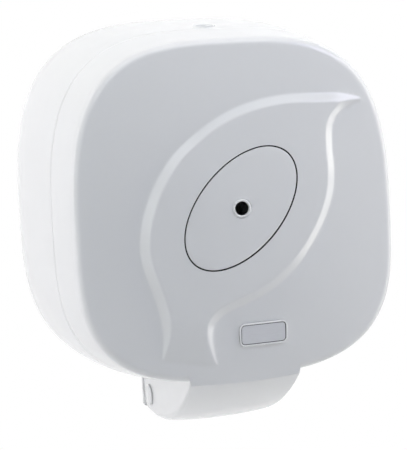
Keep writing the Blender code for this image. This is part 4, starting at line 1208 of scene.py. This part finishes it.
lock = {
    "bushBore": 4.5, "bushRadius": 6, "bushLength": 8.5, "flangeRadius": 8, "flangeThick": 1.6,
    "nutFlat": 7.5, "nutThick": 2.6, "barrel": 4.2, "tail": 2.4, "tenon": 2.2, "tenonLength": 3,
    "slotHalf": (0.6, 3), "slotDepth": 3.5, "camReach": 18.5, "camHalf": 3, "hub": 5.5, "soft": 0.3,
    "camThick": 2.4, "screwBore": 1.4, "gap": 0.3,
}


def makeLock():
    k = lock
    foot = lockSpot()
    up = Vector((0, 0, 1))

    def spot(x, y, z):
        return foot + Vector((x, y, z))

    soft, gap = k["soft"], k["gap"]
    low, flange = -k["bushLength"], -k["flangeThick"]
    bush = [(k["bushBore"], low), (k["bushRadius"] - soft, low), (k["bushRadius"], low + soft),
            (k["bushRadius"], flange), (k["flangeRadius"], flange),
            *[(k["flangeRadius"] - 0.6 + 0.6 * math.cos(a), -0.6 + 0.6 * math.sin(a))
              for a in (0, 0.4, 0.8, 1.2, 1.57)], (k["bushBore"] + 0.2, 0), (k["bushBore"], -0.2)]
    put(makeSpun("lockBush", "palePlastic", bush, foot, up, True), "housing", ["lock_bush"])

    nutTop = -housing["lockDrop"] - gap
    corner = k["nutFlat"] / math.cos(math.pi / 6)
    bm = bmesh.new()
    bmesh.ops.create_cone(bm, cap_ends=True, segments=6, radius1=corner, radius2=corner, depth=k["nutThick"],
                          matrix=Matrix.Translation(foot + up * (nutTop - k["nutThick"] / 2)))
    nut = makeObject("lockNut", bm, "zincCoat")
    # the corners are turned off round, and the hole cut with a chamfer at both ends
    nutLow = nutTop - k["nutThick"]
    turned = [(0, nutTop), (corner - 0.9, nutTop), (corner, nutTop - 0.5), (corner, nutLow + 0.5),
              (corner - 0.9, nutLow), (0, nutLow)]
    addJoined(nut, "INTERSECT", (addSpin, turned, foot, up, False, 64))
    hole = k["bushRadius"] + 0.3
    bore = [(0, nutTop + 1), (hole + 0.3, nutTop + 1), (hole + 0.3, nutTop), (hole, nutTop - 0.3),
            (hole, nutLow + 0.3), (hole + 0.3, nutLow), (hole + 0.3, nutLow - 1), (0, nutLow - 1)]
    addJoined(nut, "DIFFERENCE", (addSpin, bore, foot, up, False, 64))
    settle(nut, sharp=30)
    put(nut, "housing", ["lock_nut"])

    shoulder = low - gap
    tenonLow = shoulder - k["tenonLength"]
    radius = k["barrel"]
    profile = [(0, shoulder), (radius - soft, shoulder), (radius, shoulder + soft), (radius, -gap - soft),
               (radius - soft * 0.3, -gap - soft * 0.3), (radius - soft, -gap), (0, -gap)]
    barrel = makeSpun("lockBarrel", "palePlastic", profile, foot, up, False)
    half = k["tenon"]
    addJoined(barrel, "UNION", (addBlock, spot(-half, -half, tenonLow),
                                spot(half, half, shoulder + k["tail"]), 0.15))
    halfWide, halfLong = k["slotHalf"]
    addJoined(barrel, "DIFFERENCE",
              (addBlock, spot(-halfWide, -halfLong, -k["slotDepth"]), spot(halfWide, halfLong, 2)),
              (addRod, k["screwBore"], foot + up * (tenonLow - 2), foot + up * (tenonLow + 6), 0, 24))
    settle(barrel, sharp=35)
    put(barrel, "lock", ["lock_barrel"])

    camTop = shoulder - gap
    camLow = camTop - k["camThick"]
    hub = [(0, camLow), (k["hub"] - soft, camLow), (k["hub"], camLow + soft), (k["hub"], camTop - soft),
           (k["hub"] - soft, camTop), (0, camTop)]
    cam = makeSpun("lockCam", "zincCoat", hub, foot, up, False)
    wide = k["camHalf"]
    ends = [(-wide, 0), *arc((0, -k["camReach"] + wide), wide, 180, 360, 16), (wide, 0)]
    addJoined(cam, "UNION", (addPlate, [spot(x, y, camLow + 0.3) for x, y in ends],
                             up * (camTop - camLow - 0.6), 0.2))
    addJoined(cam, "DIFFERENCE", (addBlock, spot(-half - gap, -half - gap, camLow - 1),
                                  spot(half + gap, half + gap, camTop + 1)))
    settle(cam, sharp=35)
    put(cam, "lock", ["lock_cam"])
    makeScrew("camScrew", "lock", "cam_screw", foot + up * (tenonLow - gap), (0, 0, -1), screws["cam"])


makeLock()
print("lock made")


# studio: a white wall behind, a pale floor far below, soft lamps at both sides and above
# (places and sizes in metres, power in watts)

studio = {
    "wallSize": 6, "wallPlace": 0.002, "floor": -0.62,
    "lamps": {
        # name: place, size, power, colour, and spread where it is narrow
        "leftStrip": ((-1.0, -0.085, 0.2), (0.15, 1.4), 4.4, (1, 0.98, 1)),
        "leftBand": ((-0.90, -1.13, -0.05), (0.25, 1.0), 1.7, (0.9, 1, 1)),
        "leftHigh": ((-0.52, -1.14, 0.75), (0.45, 0.5), 1.7, (0.93, 0.97, 1)),
        "leftLow": ((-1.0, -0.9, -0.5), (0.8, 0.3), 0.3, (1, 0.95, 0.95)),
        "topFront": ((0, -0.9, 1.4), (1.4, 0.8), 5.3, (0.83, 0.92, 1)),
        "topNear": ((0, -0.35, 0.95), (1.0, 0.25), 2.2, (1, 0.96, 0.82)),
        "rightNear": ((0.90, -0.32, 0.3), (0.25, 0.8), 2.8, (1, 1, 0.9)),
        "rightLow": ((0.95, -0.35, -0.35), (0.25, 0.5), 1.4, (1, 1, 0.92)),
        "rightHigh": ((0.9, -0.9, 0.9), (0.6, 0.6), 5.2, (0.76, 0.76, 1)),
        "behind": ((0, 1.5, 0.02), (0.5, 0.5), 0.22, (1, 1, 1), 0.4),
    },
    "aim": (0, -0.08, 0),
}


def seenRays(tree, path):
    # 1 for rays from the camera, and for those that a mirror or a glass sends on
    seen = path.outputs["Is Camera Ray"]
    for kind in ("Is Glossy Ray", "Is Transmission Ray"):
        most = tree.nodes.new("ShaderNodeMath")
        most.operation = "MAXIMUM"
        tree.links.new(seen, most.inputs[0])
        tree.links.new(path.outputs[kind], most.inputs[1])
        seen = most.outputs[0]
    return seen


def makeBackdrop(name, size, place, turn):
    bm = bmesh.new()
    bmesh.ops.create_grid(bm, x_segments=4, y_segments=4, size=size / 2,
                          matrix=Matrix.Translation(place) @ Matrix.Rotation(turn, 4, "X"))
    mesh = bpy.data.meshes.new(name)
    bm.to_mesh(mesh)
    bm.free()
    made = addToScene(name, mesh)
    # it shines by itself for the rays that see it, and only takes up light for the others
    look = Look(name + "Paint", {"Roughness": 0.9, "Base Color": (0.85, 0.85, 0.85, 1)})
    path = look.tree.nodes.new("ShaderNodeLightPath")
    white = look.node("ShaderNodeEmission", {"Color": (1, 1, 1, 1), "Strength": 1.0})
    seen = Wire(look, seenRays(look.tree, path))
    mixed = look.node("ShaderNodeMixShader", {0: seen, 1: Wire(look, look.shader.outputs[0]), 2: white})
    # from behind, and to the lamp behind, the backdrop is clear, so that the object's back shows
    behind = look.node("ShaderNodeNewGeometry", output="Backfacing")
    clear = behind.maths("MAXIMUM", Wire(look, path.outputs["Is Shadow Ray"]))
    through = look.node("ShaderNodeBsdfTransparent")
    mixed = look.node("ShaderNodeMixShader", {0: clear, 1: mixed, 2: through})
    look.feed(look.tree.nodes["Material Output"].inputs["Surface"], mixed)
    mesh.materials.append(look.material)


makeBackdrop("studioWall", studio["wallSize"], (0, studio["wallPlace"], 0), math.pi / 2)
makeBackdrop("studioFloor", studio["wallSize"], (0, -studio["wallSize"] / 2, studio["floor"]), 0)

world = bpy.data.worlds.new("studioWorld")
world.use_nodes = True
sky = world.node_tree.nodes["Background"]
sky.inputs["Color"].default_value = (1, 1, 1, 1)
world.node_tree.links.new(seenRays(world.node_tree, world.node_tree.nodes.new("ShaderNodeLightPath")),
                          sky.inputs["Strength"])
bpy.context.scene.world = world

for lampName, (place, size, power, colour, *spread) in studio["lamps"].items():
    data = bpy.data.lights.new(lampName, "AREA")
    data.shape = "RECTANGLE"
    data.size, data.size_y = size
    data.energy = power
    data.color = colour
    data.spread = spread[0] if spread else math.pi
    lamp = addToScene(lampName, data)
    lamp.location = place
    lamp.rotation_euler = (Vector(studio["aim"]) - Vector(place)).to_track_quat("-Z", "Y").to_euler()
print("studio made")
